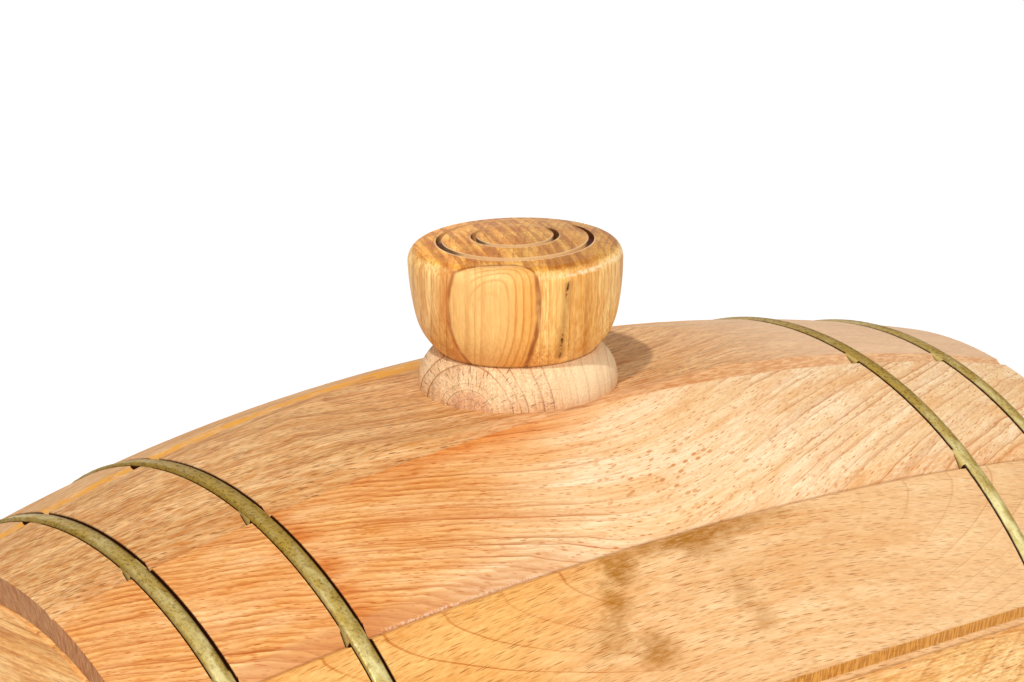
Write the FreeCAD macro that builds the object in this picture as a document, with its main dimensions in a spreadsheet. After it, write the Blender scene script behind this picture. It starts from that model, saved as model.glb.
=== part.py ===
import FreeCAD, Part
import math
import os
import Sketcher

# A small coopered cask that lies on a wooden cradle and serves liquor from a wooden tap.
#
# Frame: +Z up, origin on the table under the middle of the whole dispenser. The cask's axis
# runs along Y, the tap is at the -Y end, and the bung is on top. Millimetres and degrees.
#
# Stations along the cask are measured from its mid length, and radii from its axis.

DOC = FreeCAD.newDocument("cask_dispenser")

SIZES = {
    "Cask": {
        "cask_half_length": 137.0,
        "chime_radius": 94.5,
        "bilge_rise": 19.5,
        "stave_count": 16,
        "bung_stave_angle": 25.6,
        "bevel_broad": 5.0,
        "bevel_narrow": 1.6,
        "bevel_depth": 2.0,
        "bevel_fade": 1.0,
        "chime_slope": 2.0,
        "chime_rim": 7.75,
        "rebate_shoulder": 3.5,
    },
    "Heads": {
        "head_thickness": 14.0,
        "head_proud": 0.6,
        "head_arris": 1.0,
        "head_fit": 0.05,
        "head_seam_height": 29.0,
        "head_seam_bevel": 0.5,
    },
    "Hoops": {
        "outer_hoop_inset": 20.8,
        "hoop_spacing": 29.2,
        "hoop_width": 4.4,
        "hoop_thickness": 4.0,
        "hoop_corner": 0.8,
        "hoop_proud": 0.35,
        "hoop_side_gap": 0.3,
        "hoop_floor_gap": 0.05,
    },
    "Bung": {
        "bung_seat_depth": 3.8,
        "collar_height": 9.3,
        "collar_edge_margin": 1.84,
        "collar_batter": 4.3,
        "collar_bulge": 1.54,
        "collar_mouth_radius": 10.0,
        "collar_bore_taper": 0.06,
        "collar_spigot_length": 7.0,
        "collar_spigot_wall": 1.93,
        "collar_spigot_fit": 0.05,
    },
    "Stopper": {
        "stopper_gap": 0.1,
        "knob_radius": 25.0,
        "knob_foot_inset": 6.0,
        "knob_waist_inset": 1.4,
        "knob_crown_inset": 2.5,
        "knob_foot_chamfer": 0.5,
        "knob_waist_height": 8.6,
        "knob_belly_height": 12.4,
        "knob_shoulder_height": 3.6,
        "knob_dome": 2.0,
        "knob_lower_bulge": 0.75,
        "knob_belly_bulge": 0.3,
        "knob_shoulder_bulge": 0.7,
        "knob_outer_ring_inset": 7.3,
        "knob_inner_ring": 9.6,
        "knob_ring_width": 1.3,
        "knob_ring_depth": 1.8,
        "tenon_radius": 6.0,
        "tenon_end": 1.0,
        "cork_length": 20.0,
        "cork_side_gap": 0.08,
        "cork_tenon_fit": 0.02,
    },
    "Tap": {
        "tap_drop": 55.0,
        "washer_thickness": 1.5,
        "washer_radius": 12.5,
        "tail_radius": 8.0,
        "tail_tip_radius": 7.3,
        "tail_inside": 9.5,
        "tail_fit": 0.05,
        "flange_radius": 13.5,
        "flange_thickness": 6.0,
        "flange_bulge": 1.6,
        "tap_neck_radius": 9.5,
        "tap_neck_length": 4.0,
        "tap_belly_rise": 4.5,
        "tap_belly_half_length": 18.0,
        "tap_nose_radius": 11.0,
        "tap_nose_length": 14.0,
        "tap_cap_length": 4.0,
        "tap_cap_radius": 7.0,
        "tap_cap_bulge": 0.75,
        "flow_radius": 3.5,
        "liner_wall": 2.8,
        "liner_fit": 0.02,
        "liner_recess": 0.1,
        "key_radius": 5.2,
        "key_taper": 0.025,
        "key_running_gap": 0.05,
        "key_hole_radius": 3.2,
        "key_tail_reach": 3.45,
        "key_tail_radius": 4.4,
        "key_shoulder_radius": 8.5,
        "key_shoulder_thickness": 3.0,
        "key_shoulder_bulge": 0.63,
        "key_shoulder_gap": 0.3,
        "key_neck_radius": 5.0,
        "key_neck_length": 5.6,
        "key_ball_radius": 9.5,
        "handle_radius": 3.9,
        "handle_half_length": 24.0,
        "handle_tip_round": 2.5,
        "handle_fit": 0.03,
        "spout_wall": 1.5,
        "spout_fit": 0.05,
        "spout_seat_gap": 0.7,
        "spout_seat_depth": 2.4,
        "spout_rim_gap": 0.1,
        "spout_bead_radius": 6.6,
        "spout_bead_height": 3.6,
        "spout_bead_bulge": 0.8,
        "spout_stem_radius": 5.9,
        "spout_tip_radius": 5.2,
        "spout_reach": 38.0,
    },
    "Cradle": {
        "cask_clearance": 71.0,
        "saddle_hoop_gap": 12.8,
        "saddle_thickness": 20.0,
        "saddle_horn_drop": 62.0,
        "saddle_horn_width": 4.7,
        "saddle_splay": 4.0,
        "saddle_edge_round": 2.0,
        "cradle_gap": 0.3,
        "arch_margin": 9.0,
        "arch_rise": 20.0,
        "rail_inset": 32.0,
        "rail_height": 52.0,
        "rail_width": 20.0,
        "rail_depth": 30.0,
        "rail_edge_round": 3.0,
        "screw_radius": 2.0,
        "screw_fit": 0.02,
        "screw_grip": 24.0,
        "screw_hole_spare": 1.0,
        "screw_point_length": 4.0,
        "screw_head_radius": 4.5,
        "screw_head_height": 2.6,
        "foot_radius": 9.0,
        "foot_height": 5.0,
        "foot_chamfer": 0.8,
        "foot_inset": 18.0,
    },
}

# How far a cutting sketch reaches past the wood that it cuts, in mm.
CUT_PAST = 1.0
# Points this close together are taken as one place, in mm.
SAME_PLACE = 0.01

SHEET = DOC.addObject("Spreadsheet::Sheet", "Sizes")


def fill_sheet():
    row = 1
    for heading, entries in SIZES.items():
        SHEET.set(f"A{row}", heading)
        row += 1
        for alias, value in entries.items():
            SHEET.set(f"A{row}", alias.replace("_", " "))
            SHEET.set(f"B{row}", str(value))
            SHEET.setAlias(f"B{row}", alias)
            row += 1
    DOC.recompute()


def size(name):
    """The expression of one driving size."""
    return f"Sizes.{name}"


def value_of(expression):
    """What an expression of the sheet's sizes comes to."""
    return float(SHEET.evalExpression(str(expression)))


fill_sheet()

# ---------------------------------------------------------------------------
# Expressions that several pieces share
# ---------------------------------------------------------------------------

HALF_LENGTH = size("cask_half_length")
BILGE = f"({size('chime_radius')} + {size('bilge_rise')})"
# Radius of the long arc that the staves follow from end to end.
STAVE_ARC = f"(({HALF_LENGTH}^2 + {size('bilge_rise')}^2) / (2 * {size('bilge_rise')}))"
STAVE_ANGLE = f"((360 - {size('bung_stave_angle')}) / ({size('stave_count')} - 1))"
# The bevels follow a flatter arc than the staves, so they fade toward the chimes.
BEVEL_RISE = f"({size('bilge_rise')} - {size('bevel_fade')})"
BEVEL_ARC = f"(({HALF_LENGTH}^2 + {BEVEL_RISE}^2) / (2 * {BEVEL_RISE}))"

HEAD_RIM = f"({HALF_LENGTH} - {size('chime_slope')})"
HEAD_FACE = f"({HEAD_RIM} + {size('head_proud')})"
HEAD_SEAT = f"({HEAD_FACE} - {size('head_thickness')})"
REBATE_RADIUS = f"({size('chime_radius')} - {size('chime_rim')})"
HEAD_RADIUS = f"({REBATE_RADIUS} - {size('head_fit')})"
# The staves' inner face is an arc about the same centre as the outer one. It ends at the
# shoulder that each head seats on.
SEAT_RADIUS = f"({REBATE_RADIUS} - {size('rebate_shoulder')})"
INNER_ARC = f"sqrt(({SEAT_RADIUS} + {STAVE_ARC} - {BILGE})^2 + {HEAD_SEAT}^2)"

OUTER_HOOP = f"({HALF_LENGTH} - {size('outer_hoop_inset')})"
INNER_HOOP = f"({OUTER_HOOP} - {size('hoop_spacing')})"

BUNG_SEAT = f"({BILGE} - {size('bung_seat_depth')})"
COLLAR_FOOT = f"({BUNG_SEAT} * tan({size('bung_stave_angle')} * 0.5deg) - {size('collar_edge_margin')})"
COLLAR_BORE_LENGTH = f"({size('collar_height')} + {size('collar_spigot_length')})"
COLLAR_BORE_END = f"({size('collar_mouth_radius')} - {size('collar_bore_taper')} * {COLLAR_BORE_LENGTH})"
COLLAR_SPIGOT = f"({COLLAR_BORE_END} + {size('collar_spigot_wall')})"

TAP_BELLY = f"({size('tap_neck_radius')} + {size('tap_belly_rise')})"
TAP_BELLY_START = f"({size('flange_thickness')} + {size('tap_neck_length')})"
KEY_STATION = f"({TAP_BELLY_START} + {size('tap_belly_half_length')})"
TAP_NOSE_START = f"({KEY_STATION} + {size('tap_belly_half_length')})"
TAP_NOSE_END = f"({TAP_NOSE_START} + {size('tap_nose_length')})"
TAP_TIP = f"({TAP_NOSE_END} + {size('tap_cap_length')})"
SPOUT_STATION = f"({TAP_NOSE_START} + {size('tap_nose_length')} / 2)"
FLANGE_FACE = f"({HEAD_FACE} + {size('washer_thickness')})"
TAIL_LENGTH = f"({size('washer_thickness')} + {size('head_thickness')} + {size('tail_inside')})"
LINER_RADIUS = f"({size('key_radius')} + {size('liner_wall')})"
LINER_HALF = f"(sqrt({TAP_BELLY}^2 - {LINER_RADIUS}^2) - {size('liner_recess')})"
SHOULDER_LOW = f"({TAP_BELLY} + {size('key_shoulder_gap')})"
SHOULDER_HIGH = f"({SHOULDER_LOW} + {size('key_shoulder_thickness')})"
BALL_LOW = f"({SHOULDER_HIGH} + {size('key_neck_length')})"
BALL_HEIGHT = f"({BALL_LOW} + sqrt({size('key_ball_radius')}^2 - {size('key_neck_radius')}^2))"
SPOUT_TENON = f"({size('flow_radius')} + {size('spout_wall')})"
SPOUT_SEAT = f"({size('tap_nose_radius')} - {size('spout_seat_depth')})"

# The whole reaches from the tap's nose to the rear chime, and the origin is midway.
CASK_SHIFT = f"(({FLANGE_FACE} + {TAP_TIP} - {HALF_LENGTH}) / 2)"
AXIS_HEIGHT = f"({BILGE} + {size('cask_clearance')})"


def surface_radius(station):
    """Outer radius of the cask at a station along it."""
    return f"({BILGE} - {STAVE_ARC} + sqrt({STAVE_ARC}^2 - ({station})^2))"


def key_radius_at(height):
    """Radius of the tap key's taper at a height above the tap's axis."""
    return f"({size('key_radius')} + {size('key_taper')} * ({height}))"


# ---------------------------------------------------------------------------
# Sketches and features
# ---------------------------------------------------------------------------

def new_body(name, across="0", along=CASK_SHIFT, up=AXIS_HEIGHT):
    """A body whose own origin sits at a place given by three expressions."""
    body = DOC.addObject("PartDesign::Body", name)
    body.Label = name
    body.AllowCompound = True
    body.setExpression("Placement.Base.x", across)
    body.setExpression("Placement.Base.y", along)
    body.setExpression("Placement.Base.z", up)
    return body


def new_sketch(body, role, name, shift=("0", "0", "0")):
    """A sketch on one of the body's origin planes, shifted in the plane's own axes."""
    sketch = body.newObject("Sketcher::SketchObject", f"{body.Name}_{name}")
    plane = next(item for item in body.Origin.OriginFeatures if item.Role == role)
    sketch.AttachmentSupport = [(plane, "")]
    sketch.MapMode = "FlatFace"
    for letter, expression in zip("xyz", shift):
        if expression != "0":
            sketch.setExpression(f"AttachmentOffset.Base.{letter}", expression)
    return sketch


def bind(sketch, label, constraint, expression):
    """Adds a constraint, names it and ties its value to an expression."""
    index = sketch.addConstraint(constraint)
    sketch.renameConstraint(index, label)
    sketch.setExpression(f"Constraints.{label}", expression)


def pin_point(sketch, label, geometry, end, across, up):
    """Holds a sketch point at two expressions measured from the sketch's origin."""
    if across == "0":
        sketch.addConstraint(Sketcher.Constraint("PointOnObject", geometry, end, -2))
    else:
        distance = Sketcher.Constraint("DistanceX", -1, 1, geometry, end, value_of(across))
        bind(sketch, f"{label}_across", distance, across)
    if up == "0":
        sketch.addConstraint(Sketcher.Constraint("PointOnObject", geometry, end, -1))
    else:
        distance = Sketcher.Constraint("DistanceY", -1, 1, geometry, end, value_of(up))
        bind(sketch, f"{label}_up", distance, up)


def arc_between(start, end, radius, side):
    """The shorter arc between two points. It bulges to the left of the way along for side +1.

    A sketch holds an arc anticlockwise, so an arc that bulges to the left is drawn backwards.
    """
    chord = end - start
    half = chord.Length / 2
    rise = radius - math.sqrt(max(radius ** 2 - half ** 2, 0.0))
    left = FreeCAD.Vector(-chord.y, chord.x, 0).normalize()
    middle = (start + end) * 0.5 + left * (rise * side)
    return Part.Arc(end, middle, start) if side > 0 else Part.Arc(start, middle, end)


def bulge(points, edge, rise, side):
    """The arc of one edge of an outline, from how far it rises off its chord."""
    across, up = points[edge]
    next_across, next_up = points[(edge + 1) % len(points)]
    chord_squared = f"((({next_across}) - ({across}))^2 + (({next_up}) - ({up}))^2)"
    return f"(({chord_squared} / 4 + {rise}^2) / (2 * {rise}))", side


def add_loop(sketch, label, points, arcs=None):
    """Draws a closed outline through points given as expressions.

    arcs maps the number of an edge to (radius expression, side). Other edges are straight.
    """
    arcs = arcs or {}
    first = sketch.GeometryCount
    places = [FreeCAD.Vector(value_of(x), value_of(y), 0) for x, y in points]
    count = len(points)
    # Which end of each edge, 1 or 2, is the one that the outline reaches first.
    starts_at = []
    for number in range(count):
        start = places[number]
        end = places[(number + 1) % count]
        if number in arcs:
            radius, side = arcs[number]
            sketch.addGeometry(arc_between(start, end, value_of(radius), side), False)
            starts_at.append(2 if side > 0 else 1)
        else:
            sketch.addGeometry(Part.LineSegment(start, end), False)
            starts_at.append(1)
    for number in range(count):
        after = (number + 1) % count
        ends_at = 3 - starts_at[number]
        sketch.addConstraint(Sketcher.Constraint(
            "Coincident", first + number, ends_at, first + after, starts_at[after]))
    for number, (across, up) in enumerate(points):
        pin_point(sketch, f"{label}_p{number}", first + number, starts_at[number], across, up)
    for number, (radius, _) in arcs.items():
        round_off = Sketcher.Constraint("Radius", first + number, value_of(radius))
        bind(sketch, f"{label}_arc{number}", round_off, radius)


def add_box(sketch, label, low, high):
    """Draws a rectangle between two corners given as expressions."""
    corners = [low, (high[0], low[1]), high, (low[0], high[1])]
    add_loop(sketch, label, corners)


def add_circle(sketch, label, centre, radius):
    """Draws a circle with its centre and radius given as expressions."""
    place = FreeCAD.Vector(value_of(centre[0]), value_of(centre[1]), 0)
    circle = Part.Circle(place, FreeCAD.Vector(0, 0, 1), value_of(radius))
    geometry = sketch.addGeometry(circle, False)
    pin_point(sketch, label, geometry, 3, centre[0], centre[1])
    bind(sketch, f"{label}_radius", Sketcher.Constraint("Radius", geometry, value_of(radius)), radius)


def revolve(body, sketch, axis, angle="360"):
    """Turns a sketch about one of its axes, evenly to both sides of its plane."""
    feature = body.newObject("PartDesign::Revolution", f"{sketch.Name}_turned")
    feature.Profile = sketch
    feature.ReferenceAxis = (sketch, [axis])
    feature.Midplane = True
    feature.setExpression("Angle", angle)
    return feature


def turn_groove(body, sketch, axis):
    """Cuts a sketch turned all the way round one of its axes."""
    feature = body.newObject("PartDesign::Groove", f"{sketch.Name}_cut")
    feature.Profile = sketch
    feature.ReferenceAxis = (sketch, [axis])
    feature.Midplane = True
    feature.Angle = 360.0
    return feature


def pad(body, sketch, length):
    """Extrudes a sketch evenly to both sides of its plane."""
    feature = body.newObject("PartDesign::Pad", f"{sketch.Name}_padded")
    feature.Profile = sketch
    feature.SideType = "Symmetric"
    feature.setExpression("Length", length)
    return feature


def cut_through(body, sketch, side="Symmetric"):
    """Cuts a sketch right through the body, to both sides of its plane or to one."""
    feature = body.newObject("PartDesign::Pocket", f"{sketch.Name}_cut")
    feature.Profile = sketch
    feature.Type = "ThroughAll"
    feature.SideType = side
    return feature


def cut_blind(body, sketch, depth, reverse):
    """Cuts a sketch to a depth on one side of its plane."""
    feature = body.newObject("PartDesign::Pocket", f"{sketch.Name}_cut")
    feature.Profile = sketch
    feature.Reversed = reverse
    feature.setExpression("Length", depth)
    return feature


def edges_of(feature, wanted):
    """Names of the feature's edges whose middle point passes a test."""
    names = []
    for number, edge in enumerate(feature.Shape.Edges, start=1):
        middle = edge.valueAt((edge.FirstParameter + edge.LastParameter) / 2)
        if wanted(edge, middle):
            names.append(f"Edge{number}")
    return names


def fillet(body, base, names, radius):
    feature = body.newObject("PartDesign::Fillet", f"{base.Name}_filleted")
    feature.Base = (base, names)
    feature.setExpression("Radius", radius)
    return feature


def chamfer(body, base, names, amount):
    feature = body.newObject("PartDesign::Chamfer", f"{base.Name}_chamfered")
    feature.Base = (base, names)
    feature.setExpression("Size", amount)
    return feature


# ---------------------------------------------------------------------------
# Staves
# ---------------------------------------------------------------------------

def stave_outline(body):
    """Lengthwise section of a stave: bilge arc, sloped chimes, and the rebates for the heads."""
    sketch = new_sketch(body, "YZ_Plane", "section")
    chime = size("chime_radius")
    points = [
        (f"-{HALF_LENGTH}", chime),
        (HALF_LENGTH, chime),
        (HEAD_RIM, REBATE_RADIUS),
        (HEAD_SEAT, REBATE_RADIUS),
        (HEAD_SEAT, SEAT_RADIUS),
        (f"-{HEAD_SEAT}", SEAT_RADIUS),
        (f"-{HEAD_SEAT}", REBATE_RADIUS),
        (f"-{HEAD_RIM}", REBATE_RADIUS),
    ]
    add_loop(sketch, "stave", points, {0: (STAVE_ARC, 1), 4: (INNER_ARC, -1)})
    return sketch


HOOP_PLACES = {
    "front_outer_hoop": (OUTER_HOOP, -1),
    "front_inner_hoop": (INNER_HOOP, -1),
    "rear_inner_hoop": (INNER_HOOP, 1),
    "rear_outer_hoop": (OUTER_HOOP, 1),
}


def bevel_edge(body, angle, side, breadth):
    """Planes one long outer edge of a stave: broad on its face, bevel_depth deep at the joint.

    The sketch stands in the joint, with its own Y axis outward and its origin at the middle of
    the bevel's arc.
    """
    centre = f"({BILGE} - {BEVEL_ARC})"
    half = f"({angle} * 0.5deg)"
    shift = (f"({side} * {centre} * sin{half})", f"({centre} * cos{half})", "0")
    sketch = new_sketch(body, "XZ_Plane", "bevel", shift)
    turn = FreeCAD.Rotation(FreeCAD.Vector(0, 0, 1), 0)
    sketch.AttachmentOffset = FreeCAD.Placement(sketch.AttachmentOffset.Base, turn)
    sketch.setExpression("AttachmentOffset.Rotation.Angle", f"{-side} * {half}")
    steepness = f"({size('bevel_depth')} / {breadth})"
    inner = f"({breadth} + {CUT_PAST} / {steepness})"
    above = f"({BEVEL_ARC} + {CUT_PAST})"
    points = [
        (f"({side} * {CUT_PAST})", f"({BEVEL_ARC} - {size('bevel_depth')} - {CUT_PAST} * {steepness})"),
        (f"({side} * {CUT_PAST})", above),
        (f"({-side} * {inner})", above),
    ]
    add_loop(sketch, "bevel", points)
    return turn_groove(body, sketch, "H_Axis")


def cut_hoop_grooves(body):
    """Turns the four square grooves that the hoops lie in."""
    sketch = new_sketch(body, "YZ_Plane", "hoop_grooves")
    half_width = f"({size('hoop_width')} / 2 + {size('hoop_side_gap')})"
    depth = f"({size('hoop_thickness')} - {size('hoop_proud')} + {size('hoop_floor_gap')})"
    for number, (station, sign) in enumerate(HOOP_PLACES.values()):
        middle = f"({sign} * {station})"
        low = (f"({middle} - {half_width})", f"({surface_radius(station)} - {depth})")
        high = (f"({middle} + {half_width})", f"({BILGE} + {CUT_PAST})")
        add_box(sketch, f"groove{number}", low, high)
    return turn_groove(body, sketch, "H_Axis")


def make_stave(name, angle, turn):
    """One stave, a wedge of the cask turned to its place in the ring."""
    body = new_body(name)
    body.Placement.Rotation = FreeCAD.Rotation(FreeCAD.Vector(0, 1, 0), 0)
    body.setExpression("Placement.Rotation.Angle", f"({turn}) * 1deg")
    revolve(body, stave_outline(body), "H_Axis", angle)
    bevel_edge(body, angle, 1, size("bevel_broad"))
    bevel_edge(body, angle, -1, size("bevel_narrow"))
    cut_hoop_grooves(body)
    return body


def make_staves():
    """The bung stave on top and the others clockwise from it, seen from the tap's end."""
    bung_stave = make_stave("bung_stave", size("bung_stave_angle"), "0")
    cut_bung_seat(bung_stave)
    staves = [bung_stave]
    for number in range(1, int(value_of(size("stave_count")))):
        turn = f"({size('bung_stave_angle')} / 2 + {STAVE_ANGLE} * ({number} - 0.5))"
        staves.append(make_stave(f"stave_{number + 1:02d}", STAVE_ANGLE, turn))
    return staves


def cut_bung_seat(body):
    """Planes the flat that the collar stands on and bores the bung hole through it."""
    flat = new_sketch(body, "YZ_Plane", "seat")
    add_box(flat, "flat", (f"-{HALF_LENGTH}", BUNG_SEAT), (HALF_LENGTH, f"({BILGE} + {CUT_PAST})"))
    cut_through(body, flat)
    hole = new_sketch(body, "XY_Plane", "bung_hole")
    add_circle(hole, "hole", ("0", "0"), f"({COLLAR_SPIGOT} + {size('collar_spigot_fit')})")
    cut_through(body, hole)


# ---------------------------------------------------------------------------
# Heads, hoops and bung collar
# ---------------------------------------------------------------------------

def make_head_board(name, end, low=None, high=None):
    """One board of a head. end is -1 at the tap and +1 at the rear; low and high are its seams."""
    body = new_body(name)
    disc = new_sketch(body, "YZ_Plane", "disc")
    arris = size("head_arris")
    face = f"({end} * {HEAD_FACE})"
    seat = f"({end} * {HEAD_SEAT})"
    points = [
        (seat, "0"),
        (seat, HEAD_RADIUS),
        (f"({end} * ({HEAD_FACE} - {arris}))", HEAD_RADIUS),
        (face, f"({HEAD_RADIUS} - {arris})"),
        (face, "0"),
    ]
    add_loop(disc, "disc", points, {2: (arris, -end)})
    revolve(body, disc, "H_Axis")
    beyond = f"({HEAD_RADIUS} + {CUT_PAST})"
    if low:
        trim_board(body, "below", (f"-{beyond}", f"-{beyond}"), (beyond, low))
    if high:
        trim_board(body, "above", (f"-{beyond}", high), (beyond, beyond))
    DOC.recompute()
    bevel_seams(body, end, [seam for seam in (low, high) if seam])
    return body


def trim_board(body, label, low, high):
    """Saws a box-shaped strip off a head board, between two corners."""
    waste = new_sketch(body, "XZ_Plane", label)
    add_box(waste, label, low, high)
    cut_through(body, waste)


def bevel_seams(body, end, seams):
    """Breaks the outer edges along a board's seams."""
    heights = [value_of(seam) for seam in seams]
    face = end * value_of(HEAD_FACE)

    def is_seam(edge, middle):
        on_seam = any(abs(middle.z - height) < SAME_PLACE for height in heights)
        return on_seam and abs(middle.y - face) < SAME_PLACE

    chamfer(body, body.Tip, edges_of(body.Tip, is_seam), size("head_seam_bevel"))


def make_heads():
    """Both heads, each of three boards edge to edge, and the tap hole in the front one."""
    seam = size("head_seam_height")
    boards = []
    for end_name, end in (("front", -1), ("rear", 1)):
        boards.append(make_head_board(f"{end_name}_head_upper_board", end, low=seam))
        boards.append(make_head_board(f"{end_name}_head_middle_board", end, f"-{seam}", seam))
        boards.append(make_head_board(f"{end_name}_head_lower_board", end, high=f"-{seam}"))
    tapped_board = boards[2]
    bore = new_sketch(tapped_board, "XZ_Plane", "tap_hole")
    tail_hole = f"({size('tail_radius')} + {size('tail_fit')})"
    add_circle(bore, "tap_hole", ("0", f"-{size('tap_drop')}"), tail_hole)
    cut_through(tapped_board, bore)
    return boards


def make_hoop(name, station, sign):
    """A ring of square brass wire with rounded corners that lies in the staves' groove."""
    body = new_body(name)
    wire = new_sketch(body, "YZ_Plane", "wire")
    corner = size("hoop_corner")
    front = f"({sign} * {station} - {size('hoop_width')} / 2)"
    rear = f"({sign} * {station} + {size('hoop_width')} / 2)"
    outside = f"({surface_radius(station)} + {size('hoop_proud')})"
    inside = f"({outside} - {size('hoop_thickness')})"
    points = [
        (f"({front} + {corner})", inside),
        (f"({rear} - {corner})", inside),
        (rear, f"({inside} + {corner})"),
        (rear, f"({outside} - {corner})"),
        (f"({rear} - {corner})", outside),
        (f"({front} + {corner})", outside),
        (front, f"({outside} - {corner})"),
        (front, f"({inside} + {corner})"),
    ]
    add_loop(wire, "wire", points, {edge: (corner, -1) for edge in (1, 3, 5, 7)})
    revolve(body, wire, "H_Axis")
    return body


def make_collar():
    """The turned ring around the bung hole, with a spigot that is glued into the stave."""
    body = new_body("bung_collar", up=f"({AXIS_HEIGHT} + {BUNG_SEAT})")
    section = new_sketch(body, "XZ_Plane", "section")
    height = size("collar_height")
    depth = size("collar_spigot_length")
    points = [
        (COLLAR_BORE_END, f"-{depth}"),
        (COLLAR_SPIGOT, f"-{depth}"),
        (COLLAR_SPIGOT, "0"),
        (COLLAR_FOOT, "0"),
        (f"({COLLAR_FOOT} - {size('collar_batter')})", height),
        (size("collar_mouth_radius"), height),
    ]
    add_loop(section, "ring", points, {3: bulge(points, 3, size("collar_bulge"), -1)})
    revolve(body, section, "V_Axis")
    return body


# ---------------------------------------------------------------------------
# Stopper
# ---------------------------------------------------------------------------

STOPPER_HEIGHT = f"({AXIS_HEIGHT} + {BUNG_SEAT} + {size('collar_height')} + {size('stopper_gap')})"


def make_knob():
    """The turned knob: a bowl-shaped grip with two cut rings on its dome, and a tenon below."""
    body = new_body("stopper_knob", up=STOPPER_HEIGHT)
    section = new_sketch(body, "XZ_Plane", "section")
    widest = size("knob_radius")
    foot = f"({widest} - {size('knob_foot_inset')})"
    edge = size("knob_foot_chamfer")
    shoulder = f"({size('knob_waist_height')} + {size('knob_belly_height')})"
    crown = f"({shoulder} + {size('knob_shoulder_height')})"
    tenon = size("tenon_radius")
    tenon_tip = f"-({size('cork_length')} + {size('tenon_end')})"
    points = [
        ("0", tenon_tip),
        (tenon, tenon_tip),
        (tenon, "0"),
        (f"({foot} - {edge})", "0"),
        (foot, edge),
        (f"({widest} - {size('knob_waist_inset')})", size("knob_waist_height")),
        (widest, shoulder),
        (f"({widest} - {size('knob_crown_inset')})", crown),
        ("0", f"({crown} + {size('knob_dome')})"),
    ]
    # The dome is half of an arc across the whole crown, so its centre is on the knob's axis.
    crown_radius = points[7][0]
    dome = f"(({crown_radius}^2 + {size('knob_dome')}^2) / (2 * {size('knob_dome')}))"
    arcs = {
        4: bulge(points, 4, size("knob_lower_bulge"), -1),
        5: bulge(points, 5, size("knob_belly_bulge"), -1),
        6: bulge(points, 6, size("knob_shoulder_bulge"), -1),
        7: (dome, -1),
    }
    add_loop(section, "knob", points, arcs)
    revolve(body, section, "V_Axis")
    rings = new_sketch(body, "XZ_Plane", "rings")
    top = f"({crown} + {size('knob_dome')} + {CUT_PAST})"
    floor = f"({crown} + {size('knob_dome')} / 2 - {size('knob_ring_depth')})"
    outer_ring = f"({widest} - {size('knob_outer_ring_inset')})"
    for label, ring in (("outer_ring", outer_ring), ("inner_ring", size("knob_inner_ring"))):
        inside = f"({ring} - {size('knob_ring_width')} / 2)"
        outside = f"({ring} + {size('knob_ring_width')} / 2)"
        add_box(rings, label, (inside, floor), (outside, top))
    turn_groove(body, rings, "V_Axis")
    return body


def make_cork():
    """The tapered cork sleeve on the knob's tenon. It follows the collar's bore."""
    body = new_body("stopper_cork", up=STOPPER_HEIGHT)
    section = new_sketch(body, "XZ_Plane", "section")
    length = size("cork_length")
    inside = f"({size('tenon_radius')} + {size('cork_tenon_fit')})"
    top = f"({size('collar_mouth_radius')} - {size('cork_side_gap')})"
    tip = f"({top} - {size('collar_bore_taper')} * {length})"
    points = [(inside, f"-{length}"), (tip, f"-{length}"), (top, "0"), (inside, "0")]
    add_loop(section, "sleeve", points)
    revolve(body, section, "V_Axis")
    return body


# ---------------------------------------------------------------------------
# Tap
# ---------------------------------------------------------------------------

TAP_HEIGHT = f"({AXIS_HEIGHT} - {size('tap_drop')})"
TAP_PLACE = {"along": f"({CASK_SHIFT} - {FLANGE_FACE})", "up": TAP_HEIGHT}
KEY_PLACE = {"along": f"({CASK_SHIFT} - {FLANGE_FACE} - {KEY_STATION})", "up": TAP_HEIGHT}
SPOUT_PLACE = {"along": f"({CASK_SHIFT} - {FLANGE_FACE} - {SPOUT_STATION})", "up": TAP_HEIGHT}


def make_washer():
    """The cork washer between the tap's flange and the head."""
    body = new_body("tap_washer", **TAP_PLACE)
    section = new_sketch(body, "YZ_Plane", "section")
    low = ("0", f"({size('tail_radius')} + {size('tail_fit')})")
    add_box(section, "washer", low, (size("washer_thickness"), size("washer_radius")))
    revolve(body, section, "H_Axis")
    return body


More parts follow.
